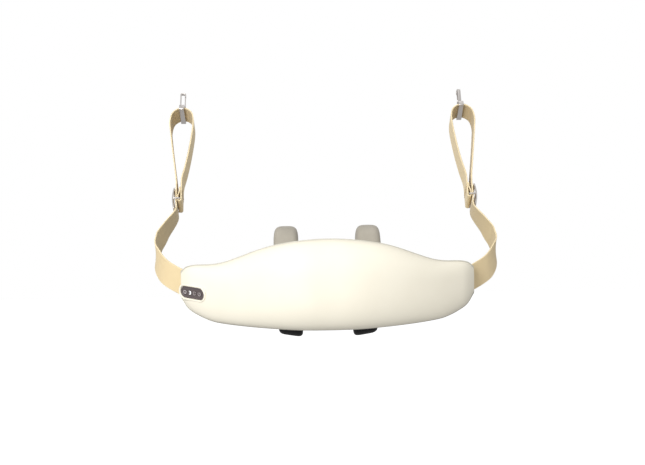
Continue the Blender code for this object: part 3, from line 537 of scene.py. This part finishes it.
def smooth_over(mesh, angle=SMOOTH_ANGLE):
    mesh.shade_smooth()
    mesh.set_sharp_from_angle(angle=angle)


def new_piece(name, mesh, material, body=ROOT):
    """A visible piece that rides on a body of the frame, in the finish of that material slot."""
    mesh.materials.append(material)
    smooth_over(mesh)
    obj = bpy.data.objects.new(name, mesh)
    bpy.context.scene.collection.objects.link(obj)
    if body:
        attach(obj, body)
    return obj


def mesh_from(name, bm):
    bmesh.ops.recalc_face_normals(bm, faces=bm.faces)
    if bm.calc_volume(signed=True) < 0:
        bmesh.ops.reverse_faces(bm, faces=bm.faces)
    mesh = bpy.data.meshes.new(name)
    bm.to_mesh(mesh)
    bm.free()
    return mesh


def skin(bm, rings, folded=False, joined=False):
    """Quads between rings of points. folded: each end closes point by point, as the two sides of a sheet.
    joined: the last ring meets the first, so there are no ends."""
    rows = [[bm.verts.new(co) for co in ring] for ring in rings]
    count = len(rows[0])
    pairs = list(zip(rows, rows[1:])) + ([(rows[-1], rows[0])] if joined else [])
    for row, after in pairs:
        for i in range(count):
            j = (i + 1) % count
            bm.faces.new((row[i], row[j], after[j], after[i]))
    if joined:
        return
    for row in (rows[0], rows[-1]):
        if folded:
            for i in range(count // 2 - 1):
                bm.faces.new((row[i], row[i + 1], row[count - 2 - i], row[count - 1 - i]))
        else:
            bm.faces.new(row)


def rings_piece(name, rings, material, body=ROOT, folded=False, joined=False):
    bm = bmesh.new()
    skin(bm, rings, folded, joined)
    return new_piece(name, mesh_from(name, bm), material, body)


def tube_rings(points, radius, sides=12, cyclic=False, up=Vector((0, 0, 1))):
    """Rings of a round tube that follows points. Its radius may be a number or a list."""
    points = [Vector(p) for p in points]
    count = len(points)
    rings = []
    across = None
    for i, point in enumerate(points):
        if cyclic:
            ahead = points[(i + 1) % count] - points[i - 1]
        else:
            ahead = points[min(i + 1, count - 1)] - points[max(i - 1, 0)]
        ahead.normalize()
        start = across if across is not None else (up if abs(up.dot(ahead)) < 0.95 else Vector((1, 0, 0)))
        across = (start - start.dot(ahead) * ahead).normalized()
        other = ahead.cross(across)
        r = radius[i] if isinstance(radius, (list, tuple)) else radius
        rings.append([point + across * r * math.cos(a) + other * r * math.sin(a) for a in turn_angles(sides)])
    return rings


def smooth_value(points, x):
    """A smooth curve through (x, value) points, read at x (cubic between neighbours)."""
    xs = [p[0] for p in points]
    vs = [p[1] for p in points]
    x = min(max(x, xs[0]), xs[-1])
    i = max(k for k in range(len(xs) - 1) if xs[k] <= x)

    def slope(k):
        if k == 0:
            return 0.0
        if k == len(xs) - 1:
            return (vs[k] - vs[k - 1]) / (xs[k] - xs[k - 1])
        return (vs[k + 1] - vs[k - 1]) / (xs[k + 1] - xs[k - 1])

    span = xs[i + 1] - xs[i]
    t = (x - xs[i]) / span
    return ((2 * t**3 - 3 * t**2 + 1) * vs[i] + (t**3 - 2 * t**2 + t) * span * slope(i)
            + (3 * t**2 - 2 * t**3) * vs[i + 1] + (t**3 - t**2) * span * slope(i + 1))


def smooth_route(points, per_span):
    """Points along a Catmull-Rom curve through the given points."""
    route = [Vector(p) for p in points]
    padded = [route[0] * 2 - route[1], *route, route[-1] * 2 - route[-2]]
    made = []
    for a, b, c, d in zip(padded, padded[1:], padded[2:], padded[3:]):
        for k in range(per_span):
            t = k / per_span
            made.append(0.5 * (2 * b + (c - a) * t + (2 * a - 5 * b + 4 * c - d) * t**2
                               + (3 * b - 3 * c + d - a) * t**3))
    return made + [route[-1]]


def add_box(bm, size, place):
    made = bmesh.ops.create_cube(bm, size=1.0)["verts"]
    bmesh.ops.scale(bm, vec=size, verts=made)
    bmesh.ops.transform(bm, matrix=place, verts=made)


def add_turned(bm, profile, place, sides=28):
    """A solid of revolution about place's Z axis from (height, radius) points."""
    rings = [[place @ Vector((r * math.cos(a), r * math.sin(a), z)) for a in turn_angles(sides)]
             for z, r in profile]
    skin(bm, rings)


def turn_angles(count):
    return spread_values(0, 2 * math.pi, count + 1)[:-1]


def cutter(name, bm):
    obj = bpy.data.objects.new(name, mesh_from(name, bm))
    bpy.context.scene.collection.objects.link(obj)
    return obj


def box_cutter(name, size, place):
    bm = bmesh.new()
    add_box(bm, size, place)
    return cutter(name, bm)


def bake(obj):
    """Makes obj's modifiers part of its mesh."""
    graph = bpy.context.evaluated_depsgraph_get()
    mesh = bpy.data.meshes.new_from_object(obj.evaluated_get(graph))
    obj.modifiers.clear()
    obj.data = mesh
    smooth_over(mesh)


def carve(obj, cutters):
    """Cuts the cutters out of obj and removes them."""
    for other in cutters:
        modifier = obj.modifiers.new("carve", "BOOLEAN")
        modifier.operation = "DIFFERENCE"
        modifier.solver = "EXACT"
        modifier.object = other
    bake(obj)
    for other in cutters:
        bpy.data.objects.remove(other)


def soften(obj):
    """Rounds the edges of a metal piece."""
    modifier = obj.modifiers.new("soften", "BEVEL")
    modifier.width = METAL_SOFT
    modifier.segments = 3
    modifier.limit_method = "ANGLE"
    modifier.angle_limit = SMOOTH_ANGLE
    bake(obj)


# ---------------------------------------------------------------- padded body
def end_share(x):
    return max(abs(x) - FLAT_HALF_LENGTH, 0) / (HALF_LENGTH - FLAT_HALF_LENGTH)


def centre_y(x):
    return BACK_SWEEP * end_share(x) ** SWEEP_POWER - FLAT_SHARE * HALF_DEPTH


def half_depth(x):
    share = end_share(x)
    depth = HALF_DEPTH + (END_HALF_DEPTH - HALF_DEPTH) * share**DEPTH_POWER
    return depth * max(1 - max(share - END_ROUND_FROM, 0) ** 2 * END_ROUNDING, LEAST_SHARE)


def seam_angle(x):
    """How far round the section a cover stops short of the seam's middle."""
    return math.asin(min((SEAM_HALF / half_depth(x)) ** (SECTION_POWER / 2), 1))


def body_point(x, angle, offset):
    """A point of the body's surface, sunk by offset. Angle 0 faces the wearer, 90 degrees is the top."""
    inner_x = x * (HALF_LENGTH - offset) / HALF_LENGTH
    edge = TOP_EDGE if math.sin(angle) > 0 else BOTTOM_EDGE
    height = smooth_value(edge, abs(x))
    height = max(height - offset, LEAST_SHARE * height)
    depth = max(half_depth(x) - offset, LEAST_SHARE * half_depth(x))
    power = 2 / SECTION_POWER
    y = depth * min(math.copysign(abs(math.cos(angle)) ** power, math.cos(angle)), FLAT_SHARE)
    z = height * math.copysign(abs(math.sin(angle)) ** power, math.sin(angle))
    return (inner_x, centre_y(inner_x) + y, z)


def rear_point(x, z, proud=0.0):
    """The point of the wearer's side of the body at that x and z."""
    height = smooth_value(TOP_EDGE if z > 0 else BOTTOM_EDGE, abs(x))
    share = max(1 - abs(z / height) ** SECTION_POWER, 0) ** (1 / SECTION_POWER)
    return Vector((x, centre_y(x) + half_depth(x) * min(share, FLAT_SHARE) + proud, z))


def cover_rings(angles, stations, steps, dent=None):
    """Rings of a cover pad: its outer side, rolled in at the seam, then its inner side."""
    rings = []
    for i in range(stations + 1):
        share = i / stations
        bunched = math.sin((share - 0.5) * math.pi) / 2 + 0.5
        x = HALF_LENGTH * (2 * share + 2 * STATION_BUNCHING * (bunched - share) - 1)
        inset = seam_angle(x)
        outer, inner = [], []
        for j in range(steps + 1):
            even = j / steps
            eased = even - math.sin(2 * math.pi * even) / (2 * math.pi) * STEP_BUNCHING
            a = angles[0] + inset + (angles[1] - angles[0] - 2 * inset) * eased
            from_seam = half_depth(x) * abs(math.cos(a)) ** (2 / SECTION_POWER) - SEAM_HALF
            sink = SEAM_ROLL * math.exp(-max(from_seam, 0) / SEAM_REACH)
            if dent:
                sink += dent(x)
            outer.append(body_point(x, a, sink))
            inner.append(body_point(x, a, COVER_THICKNESS))
        rings.append(outer + inner[::-1])
    return rings


def make_front_cover(material):
    quarter = math.pi / 2
    rings = cover_rings((quarter, 3 * quarter), 150, 64)
    cover = rings_piece("front_cover", rings, material["cream_leather"], folded=True)
    bm = bmesh.new()
    skin(bm, capsule_rings([(2 * GAP, -2 * PANEL_DEPTH), (2 * GAP, 2 * PANEL_DEPTH)]))
    carve(cover, [cutter("panel_well", bm)])
    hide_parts("front_cover_pad")


def finger_slots():
    """(name, side, level, middle x) of the four openings that the fingers come through."""
    for side, side_name in SIDES:
        for level, level_name in LEVELS:
            low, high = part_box(f"finger_arm_{level_name}_{side_name}")
            yield f"{level_name}_{side_name}", side, level, (low.x + high.x) / 2


def rounded_corners(width, height, radius, steps):
    """(point, outward direction) pairs round a rectangle with rounded corners."""
    made = []
    for k, (side, level) in enumerate(((1, 1), (-1, 1), (-1, -1), (1, -1))):
        for a in spread_values(k * math.pi / 2, (k + 1) * math.pi / 2, steps):
            aim = Vector((math.cos(a), math.sin(a)))
            corner = Vector((side * (width / 2 - radius), level * (height / 2 - radius)))
            made.append((corner + aim * radius, aim))
    return made


def make_rear_cover(material):
    quarter = math.pi / 2

    def dent(x):
        return SEAM_DENT * math.exp(-((abs(x) - PANEL_SEAM_X) / SEAM_DENT_REACH) ** 2)

    rings = cover_rings((-quarter, quarter), 170, 56, dent)
    cover = rings_piece("rear_cover", rings, material["cream_fabric"], folded=True)
    openings = []
    for name, _, level, x in finger_slots():
        bm = bmesh.new()
        outline = rounded_corners(SLOT_SIZE[0], SLOT_SIZE[2], SLOT_CORNER, 5)
        skin(bm, [[(x + p.x, y, level * SLOT_Z + p.y) for p, _ in outline]
                  for y in (-SLOT_SIZE[1] / 2, SLOT_SIZE[1] / 2)])
        openings.append(cutter(f"opening_{name}", bm))
    for side, name in SIDES:
        x, y, z = BODY_ROUTE[1]
        place = Matrix.Translation((side * x, y, z)) @ Matrix.Rotation(side * SLIT_TURN, 4, "Z")
        size = (SLIT_LENGTH, WEB_THICKNESS + 4 * GAP, WEB_WIDTH + 4 * GAP)
        openings.append(box_cutter(f"slit_{name}", size, place))
    place = Matrix.Translation(SOCKET_CENTRE) @ Matrix.Rotation(SOCKET_TURN, 4, "Z")
    openings.append(box_cutter("socket_pocket", SOCKET_POCKET, place))
    carve(cover, openings)
    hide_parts("rear_pad")


def make_welts(material):
    """A leather welt round each finger opening."""
    for name, _, level, x in finger_slots():
        width, height = SLOT_SIZE[0] + 2 * WELT_RADIUS, SLOT_SIZE[2] + 2 * WELT_RADIUS
        outline = rounded_corners(width, height, WELT_CORNER, 7)
        sides = [outline[i][0].lerp(outline[(i + 1) % len(outline)][0], t)
                 for i in range(len(outline)) for t in (0, 0.25, 0.5, 0.75)]
        points = [rear_point(x + p.x, level * SLOT_Z + p.y, WELT_RADIUS / 3) for p in sides]
        rings = tube_rings(points, WELT_RADIUS, 10, cyclic=True, up=Vector((0, 1, 0)))
        rings_piece(f"finger_welt_{name}", rings, material["grey_piping"], joined=True)


def make_piping(material):
    quarter = math.pi / 2
    turns = spread_values(-quarter, quarter, 140)
    seam = [body_point(HALF_LENGTH * math.sin(a), quarter, PIPING_SINK) for a in turns]
    seam += [body_point(HALF_LENGTH * math.sin(a), -quarter, PIPING_SINK) for a in reversed(turns)]
    rings = tube_rings(seam, PIPING_RADIUS, 12, cyclic=True, up=Vector((0, 1, 0)))
    piping = rings_piece("seam_piping_round", rings, material["grey_piping"], joined=True)
    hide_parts("seam_piping")


# ---------------------------------------------------------------- kneading fingers
def finger_section(level, side, at, ahead, half, wide, slant):
    normal = Vector((0, -ahead.z, ahead.y))
    power = FINGER_SQUARENESS[level]
    ring = []
    for a in turn_angles(44):
        rise = math.copysign(abs(math.sin(a)) ** power, math.sin(a))
        across = math.copysign(abs(math.cos(a)) ** power, math.cos(a))
        across *= wide * (1 - FINGER_TAPER[level] * max(rise, 0))
        point = at + normal * half * rise
        ring.append(Vector((across, point.y, level * point.z + slant * side * across)))
    return ring


def finger_rings(side, level):
    """Sections of a finger about its rod, from its neck to its rounded tip."""
    per_span = 8
    route = smooth_route([(0, y, z) for y, z in FINGER_ROUTE], per_span)
    widths = ((1, FINGER_NECK_WIDTH), (2, FINGER_WIDTH), (len(FINGER_ROUTE) - 1, FINGER_WIDTH))
    halves = tuple(enumerate(FINGER_HALF))
    rings = []
    for i in range(per_span, len(route)):
        at = i / per_span
        ahead = (route[min(i + 1, len(route) - 1)] - route[i - 1]).normalized()
        half, wide = smooth_value(halves, at), smooth_value(widths, at) / 2
        slant = LOWER_SLANT * min(at / 2, 1) if level < 0 else 0
        rings.append(finger_section(level, side, route[i], ahead, half, wide, slant))
    for a in spread_values(0, math.pi / 2, 12)[1:-1]:
        reach, left = half * TIP_REACH * math.sin(a), math.cos(a)
        rings.append(finger_section(level, side, route[-1] + ahead * reach, ahead, half * left,
                                    wide * (0.3 + 0.7 * left) * left**0.15, slant))
    return rings


def make_fingers(material):
    for name, side, level, _ in finger_slots():
        joint = joints[f"{name}_finger_swing"]
        pivot = Vector(joint["pos_m"])
        rings = [[pivot + p for p in ring] for ring in finger_rings(side, level)]
        finish = "warm_grey_silicone" if level > 0 else "charcoal_silicone"
        cover = rings_piece(f"finger_{name}", rings, material[finish], joint["child"])
        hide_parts(f"finger_cover_{name}")


# ---------------------------------------------------------------- control panel
def panel_frame():
    return (Matrix.Translation(PANEL_CENTRE) @ Matrix.Rotation(PANEL_TURN, 4, "Z")
            @ Matrix.Rotation(PANEL_PITCH, 4, "X") @ Matrix.Rotation(PANEL_ROLL, 4, "Y"))


def capsule_outline(grow, steps=14):
    radius = PANEL_HEIGHT / 2 + grow
    middle = (PANEL_LENGTH - PANEL_HEIGHT) / 2
    half = [(middle + radius * math.cos(a), radius * math.sin(a))
            for a in spread_values(-math.pi / 2, math.pi / 2, steps)]
    return half + [(-x, -z) for x, z in half]


def capsule_rings(steps):
    """Rings of the panel's outline, from (how far it grows, how deep it lies) pairs."""
    place = panel_frame()
    return [[place @ Vector((x, y, z)) for x, z in capsule_outline(grow)] for grow, y in steps]


def button_x(i):
    return (i - (BUTTON_COUNT - 1) / 2) * BUTTON_PITCH


def arc(start, end, inner, outer, steps=20):
    """The outline of part of a flat ring, as (x, z) points."""
    sweep = spread_values(start, end, steps)
    return ([(outer * math.cos(a), outer * math.sin(a)) for a in sweep]
            + [(inner * math.cos(a), inner * math.sin(a)) for a in reversed(sweep)])


def icon_outlines(i):
    """Generic symbols: a ring, a crescent, a turning arrow and a power mark."""
    outer, inner = ICON_RADIUS, ICON_RADIUS - ICON_LINE
    if i == 0:
        return [arc(0, math.pi, inner, outer), arc(math.pi, 2 * math.pi, inner, outer)]
    if i == 1:
        sweep = spread_values(math.radians(-140), math.radians(140), 24)
        bulge = [(outer * math.cos(a), outer * math.sin(a)) for a in sweep]
        bite = [(x * 0.45 - 0.00060, z * 0.86) for x, z in reversed(bulge[1:-1])]
        return [bulge + bite]
    if i == 2:
        head = [(outer * 0.62 + x, outer * 0.72 + z)
                for x, z in ((0.0, 0.0009), (-0.0008, -0.0004), (0.0009, -0.0003))]
        return [arc(math.radians(80), math.radians(340), inner, outer), head]
    half, low, high = ICON_LINE / 2, 0.0004, 0.0020
    bar = [(-half, low), (half, low), (half, high), (-half, high)]
    return [arc(math.radians(120), math.radians(420), inner, outer), bar]


def make_panel(material):
    place = panel_frame()
    plate_steps = [(0, PANEL_DEPTH), (0, 0.0004), (-0.0003, 0.0001), (-0.0008, 0), (-0.0014, 0.0002),
                   (-0.0018, 0.0006)]
    plate = rings_piece("panel_plate", capsule_rings(plate_steps), material["plum_panel"])
    holes = []
    for i in range(BUTTON_COUNT):
        bm = bmesh.new()
        middle = place @ Matrix.Translation((button_x(i), 0, 0)) @ Matrix.Rotation(-math.pi / 2, 4, "X")
        radius = BUTTON_RADIUS + GAP
        add_turned(bm, [(-PANEL_DEPTH, radius), (2 * PANEL_DEPTH, radius)], middle)
        holes.append(cutter(f"button_hole_{i}", bm))
    carve(plate, holes)
    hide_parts("panel_bezel")
    lip = [place @ Vector((x, 0.0001, z)) for x, z in capsule_outline(LIP_RADIUS + GAP, 24)]
    rings = tube_rings(lip, LIP_RADIUS, 12, cyclic=True, up=place.to_3x3() @ Vector((0, 1, 0)))
    rings_piece("panel_lip", rings, material["cream_leather"], joined=True)
    for i in range(BUTTON_COUNT):
        make_button(i, place @ Matrix.Translation((button_x(i), 0, 0)), material)


def make_button(i, place, material):
    body = f"button_{i + 1}"
    front = place @ Matrix.Rotation(-math.pi / 2, 4, "X")
    bm = bmesh.new()
    steps = ((0, 1), (0.2, 0.4), (0.8, 0))
    profile = [(z * BUTTON_EDGE - BUTTON_PROUD, BUTTON_RADIUS - inset * BUTTON_EDGE) for z, inset in steps]
    profile.append((BUTTON_HEIGHT - BUTTON_PROUD, BUTTON_RADIUS))
    add_turned(bm, profile, front, 36)
    cap = new_piece(f"{body}_cap", mesh_from("cap", bm), material["plum_button"], body)
    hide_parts(f"push_button_{i + 1}")
    bm = bmesh.new()
    for outline in icon_outlines(i):
        skin(bm, [[place @ Vector((x, y, z)) for x, z in outline]
                  for y in (-BUTTON_PROUD - ICON_DEPTH, -BUTTON_PROUD + ICON_DEPTH)])
    finish = ("icon_soft", "icon_bright", "icon_dim", "icon_dim")[i]
    new_piece(f"{body}_icon", mesh_from("icon", bm), material[finish], body)


# ---------------------------------------------------------------- straps
def ring_frame(side, name):
    """Axes at the ring on a hand loop: X outward, Y along the webbing's width, Z up the loop."""
    swing = joints[f"ring_{name}_swing"]
    up = Vector(joints[f"slider_{name}_slide"]["axis"])
    matrix = Matrix((Vector((side, 0, 0)), Vector(swing["axis"]), up)).transposed().to_4x4()
    matrix.translation = Vector(swing["pos_m"])
    return matrix


def slider_frame(side, name):
    return ring_frame(side, name) @ Matrix.Translation((side * RING_SLIP - LOOP_SHIFT, 0, -LOOP_HEIGHT))


def loop_route():
    """(outward, up) points: up the outer strand, over the arch, down and round the slider bar."""
    strand = (WEB_THICKNESS + STRAND_GAP) / 2
    straight = [(strand, -STRAIGHT_BELOW), (strand, 0), (strand, STRAIGHT_ABOVE)]
    loop = [(0.0030, 0.0340), (0.0064, 0.0560), (0.0100, 0.0790), (0.0130, 0.1000), (LOOP_HALF, 0.1140),
            (0.0126, 0.1265), (0.0070, 0.1328), (0, LOOP_HEIGHT), (-0.0070, 0.1328), (-0.0126, 0.1265),
            (-LOOP_HALF, 0.1140), (-0.0138, 0.0960), (-0.0112, 0.0710), (-0.0080, 0.0490), (-0.0046, 0.0310)]
    leg = BAR_X - WRAP_RADIUS
    wrap = [(BAR_X + WRAP_RADIUS * math.cos(a), WRAP_RADIUS * math.sin(a)) for a in WRAP_ANGLES]
    tail_x = leg + WEB_THICKNESS + STRAND_GAP / 2
    down = [(leg, 0.0160), (leg, 0.0060)]
    tail = [(BAR_X + WRAP_RADIUS, 0.0055), (tail_x, 0.0120), (tail_x, TAIL_HEIGHT)]
    return straight + [(x + LOOP_SHIFT * z / LOOP_HEIGHT, z) for x, z in loop] + down + wrap + tail


def web_section():
    """(across, out) of the webbing's cross-section in half widths and half thicknesses."""
    face = [(u, 1.0) for u in (-0.972, -0.90, -0.75, -0.5, -0.25, 0, 0.25, 0.5, 0.75, 0.90, 0.972)]
    side = [(0.994, 0.72), (1.0, 0.0)]
    half = face + side
    return half + [(-u, -v) for u, v in half]


def strap_route(side, name):
    """Points, width directions and distances along a strap."""
    place = slider_frame(side, name)
    lower = [Vector((side * x, y, z)) for x, y, z in BODY_ROUTE]
    route = smooth_route(lower + [place @ Vector((x, 0, z)) for x, z in loop_route()], ROUTE_STEPS)
    leaning = place.to_3x3() @ Vector((0, 1, 0))
    twist_end = len(lower) * ROUTE_STEPS
    twist_steps = TWIST_SPANS * ROUTE_STEPS
    widths = []
    for i in range(len(route)):
        share = min(max((i - twist_end + twist_steps) / twist_steps, 0), 1)
        widths.append(Vector((0, 0, 1)).lerp(leaning, share))
    along = [0.0]
    for a, b in zip(route, route[1:]):
        along.append(along[-1] + (b - a).length)
    return route, widths, along


def web_axes(route, widths, i):
    ahead = (route[min(i + 1, len(route) - 1)] - route[max(i - 1, 0)]).normalized()
    across = (widths[i] - widths[i].dot(ahead) * ahead).normalized()
    return ahead, across, ahead.cross(across)


def add_stitch(bm, middle, along, out):
    """One stitch: a short thread that dips in at both ends."""
    steps = spread_values(-0.5, 0.5, 6)
    points = [middle + along * STITCH_LENGTH * t + out * STITCH_RADIUS * (1 - (2.1 * t) ** 2) for t in steps]
    radii = [STITCH_RADIUS * math.sqrt(max(1 - (1.9 * t) ** 2, 0.04)) for t in steps]
    skin(bm, tube_rings(points, radii, 8, up=out))


def make_strap(side, name, material):
    route, widths, along = strap_route(side, name)
    section = web_section()
    bm = bmesh.new()
    rings = []
    for i, point in enumerate(route):
        _, across, normal = web_axes(route, widths, i)
        half_width, half_wall = across * WEB_WIDTH / 2, normal * WEB_THICKNESS / 2
        rings.append([point + half_width * u + half_wall * v for u, v in section])
    skin(bm, rings)
    mesh = mesh_from(f"webbing_{name}", bm)
    # The inner attribute marks the webbing's inner face, which the webbing's colour draws darker as painted shade.
    wearer_side = -1 if side > 0 else 1
    for key, values in (("along", [d for d in along for _ in section]),
                        ("across", [u * WEB_WIDTH / 2 for _ in route for u, _ in section]),
                        ("inner", [float(v * wearer_side > 0) for _ in route for _, v in section])):
        mesh.attributes.new(key, "FLOAT", "POINT").data.foreach_set("value", values)
    strap = new_piece(f"webbing_{name}", mesh, material["tan_webbing"])
    smooth_over(mesh, WEB_SMOOTH_ANGLE)
    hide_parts(f"strap_{name}")
    stitches = make_stitches(name, route, widths, along, material)


def make_stitches(name, route, widths, along, material):
    """Rows of stitches across the webbing: two at its inner end and two through each side of the fold."""
    bm = bmesh.new()
    tail = along[-1] - STITCH_FROM_END
    leg = along[-1] - 2 * TAIL_HEIGHT - math.pi * WRAP_RADIUS + STITCH_FROM_END
    starts = (STITCH_START, STITCH_START + STITCH_START_GAP)
    for row in (tail, tail - STITCH_ROW_GAP, leg, leg + STITCH_ROW_GAP, *starts):
        i = min(range(len(along)), key=lambda k: abs(along[k] - row))
        _, across, normal = web_axes(route, widths, i)
        for step in range(-STITCHES_EACH_WAY, STITCHES_EACH_WAY + 1):
            for face in (-1, 1):
                middle = route[i] + across * step * STITCH_PITCH + normal * face * WEB_THICKNESS / 2
                add_stitch(bm, middle, across, normal * face)
    return new_piece(f"strap_stitches_{name}", mesh_from("stitches", bm), material["tan_thread"])


# ---------------------------------------------------------------- metalwork
def make_slider(side, name, material):
    place = slider_frame(side, name)
    body = f"slider_{name}"
    metal = material["nickel"]
    pair = WEB_THICKNESS + STRAND_GAP / 2
    inner = pair + SLIDER_CLEARANCE
    half = SLIDER_HEIGHT / 2
    heights = spread_values(-half, half, 25)
    outline = [(inner + SLIDER_BOW * (1 - (z / half) ** 2), z) for z in heights]
    outline += [(x + SLIDER_THICKNESS, z) for x, z in reversed(outline)]
    rings = [[place @ Vector((x, end * SLIDER_WIDTH / 2, z)) for x, z in outline] for end in (-1, 1)]
    plate = rings_piece(f"slider_plate_{name}", rings, metal, body)
    slot_size = (8 * SLIDER_THICKNESS, WEB_WIDTH + 2 * GAP, SLIDER_SLOT_HEIGHT)
    carve(plate, [box_cutter(f"slider_slot_{name}_{level}", slot_size,
                             place @ Matrix.Translation((inner + SLIDER_BOW, 0, level * SLIDER_SLOT_Z)))
                  for level in (-1, 1)])
    soften(plate)
    outer_x = inner + SLIDER_BOW + SLIDER_THICKNESS / 2
    inner_x = BAR_X - SLIDER_BAR_RADIUS
    bm = bmesh.new()
    for end in (-1, 1):
        middle = ((outer_x + inner_x) / 2, end * (SLIDER_WIDTH - SLIDER_POST[0]) / 2, 0)
        add_box(bm, (outer_x - inner_x, *SLIDER_POST), place @ Matrix.Translation(middle))
    posts = new_piece(f"slider_posts_{name}", mesh_from("posts", bm), metal, body)
    soften(posts)
    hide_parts(f"slider_{name}")


def make_slider_bar(side, name, material):
    """The round bar between the slider's posts, which the strap's sewn end folds round."""
    bm = bmesh.new()
    half = SLIDER_WIDTH / 2 - SLIDER_POST[0] - GAP
    profile = [(-half, SLIDER_BAR_RADIUS - CHAMFER), (-half + CHAMFER, SLIDER_BAR_RADIUS),
               (half - CHAMFER, SLIDER_BAR_RADIUS), (half, SLIDER_BAR_RADIUS - CHAMFER)]
    axis = Matrix.Translation((BAR_X, 0, 0)) @ Matrix.Rotation(math.pi / 2, 4, "X")
    add_turned(bm, profile, slider_frame(side, name) @ axis)
    bar = new_piece(f"slider_rod_{name}", mesh_from("bar", bm), material["nickel"], f"slider_{name}")
    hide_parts(f"slider_bar_{name}")


def band_section(depth, wall):
    """(along the band's depth, through its wall) points of a flat band's rounded section."""
    return [(p.x, p.y) for p, _ in rounded_corners(depth, wall, METAL_SOFT, 4)]


def band_rings(place, path, depth, wall):
    section = band_section(depth, wall)
    return [[place @ Vector((d, p.x + aim.x * n, p.y + aim.y * n)) for d, n in section] for p, aim in path]


def make_ring(side, name, material):
    place = ring_frame(side, name)
    body = f"ring_{name}"
    width = RING_INSIDE_WIDTH + RING_THICKNESS
    path = rounded_corners(width, RING_HEIGHT - RING_THICKNESS, RING_CORNER - RING_THICKNESS / 2, 8)
    bm = bmesh.new()
    skin(bm, band_rings(place, path, RING_BAND, RING_THICKNESS), joined=True)
    foot = place @ Matrix.Translation((0, 0, RING_HEIGHT / 2))
    add_turned(bm, [(-GAP, BOSS_RADIUS + 0.0004), (0.0003, BOSS_RADIUS + 0.0001), (0.0006, BOSS_RADIUS),
                    (BOSS_HEIGHT - CHAMFER, BOSS_RADIUS), (BOSS_HEIGHT, BOSS_RADIUS - CHAMFER)], foot)
    ring = new_piece(f"flat_ring_{name}", mesh_from("ring", bm), material["nickel"], body)
    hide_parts(f"strap_ring_{name}")


def collar_profile():
    """(height, radius) of a hook's collar: two beads with a groove between them, then a short neck."""
    bead, groove = COLLAR_RADIUS, COLLAR_RADIUS - CHAMFER
    lower = [(0, bead - 0.0004), (CHAMFER, bead), (0.0015, bead), (0.0017, groove)]
    upper = [(0.0020, groove), (0.0022, bead), (COLLAR_HEIGHT - CHAMFER, bead), (COLLAR_HEIGHT, groove)]
    return lower + upper + [(COLLAR_HEIGHT + 0.0008, bead - 0.0008)]


def make_hook(side, name, material):
    foot = (ring_frame(side, name) @ Matrix.Translation((0, 0, RING_HEIGHT / 2 + BOSS_HEIGHT + GAP))
            @ Matrix.Rotation(math.pi / 2 + HOOK_TURN[side], 4, "Z"))
    middle = foot @ Matrix.Translation((0, 0, COLLAR_HEIGHT + HOOK_HEIGHT / 2))
    side_y = (HOOK_WIDTH - HOOK_WALL) / 2
    path = rounded_corners(HOOK_WIDTH - HOOK_WALL, HOOK_HEIGHT - HOOK_WALL, HOOK_CORNER - HOOK_WALL / 2, 8)
    open_z = GATE_SIZE[2] / 2 + GAP
    ends = [(Vector((side_y, level * open_z)), Vector((1, 0))) for level in (1, -1)]
    bm = bmesh.new()
    skin(bm, band_rings(middle, [ends[0], *path, ends[1]], HOOK_DEPTH, HOOK_WALL))
    add_turned(bm, collar_profile(), foot)
    hook = new_piece(f"hook_{name}", mesh_from("hook", bm), material["nickel"], f"hook_{name}")
    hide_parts(f"snap_hook_{name}")
    make_gate(name, middle @ Matrix.Translation((0, side_y, 0)), material)


def make_gate(name, place, material):
    """The gate that closes a hook's mouth, with its hinge pin. place is the middle of the mouth."""
    bm = bmesh.new()
    depth, wall, length = GATE_SIZE
    section = band_section(depth, wall)
    steps = ((-0.5, 0.7), (-0.47, 1.0), (0.47, 1.0), (0.5, 0.7))
    skin(bm, [[place @ Vector((d * grow, n * grow, length * z)) for d, n in section] for z, grow in steps])
    hinge = Matrix.Translation((0, 0, GATE_HINGE - length / 2)) @ Matrix.Rotation(math.pi / 2, 4, "Y")
    end, shoulder = depth / 2 + 0.0003, depth / 2 + 0.0002
    head = GATE_PIN_RADIUS - 0.0002
    profile = [(-end, head), (-shoulder, GATE_PIN_RADIUS), (shoulder, GATE_PIN_RADIUS), (end, head)]
    add_turned(bm, profile, place @ hinge, 16)
    gate = new_piece(f"gate_{name}", mesh_from("gate", bm), material["nickel"], f"gate_{name}")
    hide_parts(f"hook_gate_{name}")


def main():
    make_camera()
    make_stage()
    material = make_materials()
    make_front_cover(material)
    make_rear_cover(material)
    make_welts(material)
    make_piping(material)
    make_fingers(material)
    make_panel(material)
    for side, name in SIDES:
        make_strap(side, name, material)
        make_slider(side, name, material)
        make_slider_bar(side, name, material)
        make_ring(side, name, material)
        make_hook(side, name, material)
    cad_slots = {row["node"]: row["material_slot"] for row in frame["record"]["subparts"]}
    for name, node in frame["nodes"].items():
        node.data.materials.clear()
        node.data.materials.append(material[cad_slots[name]])


main()
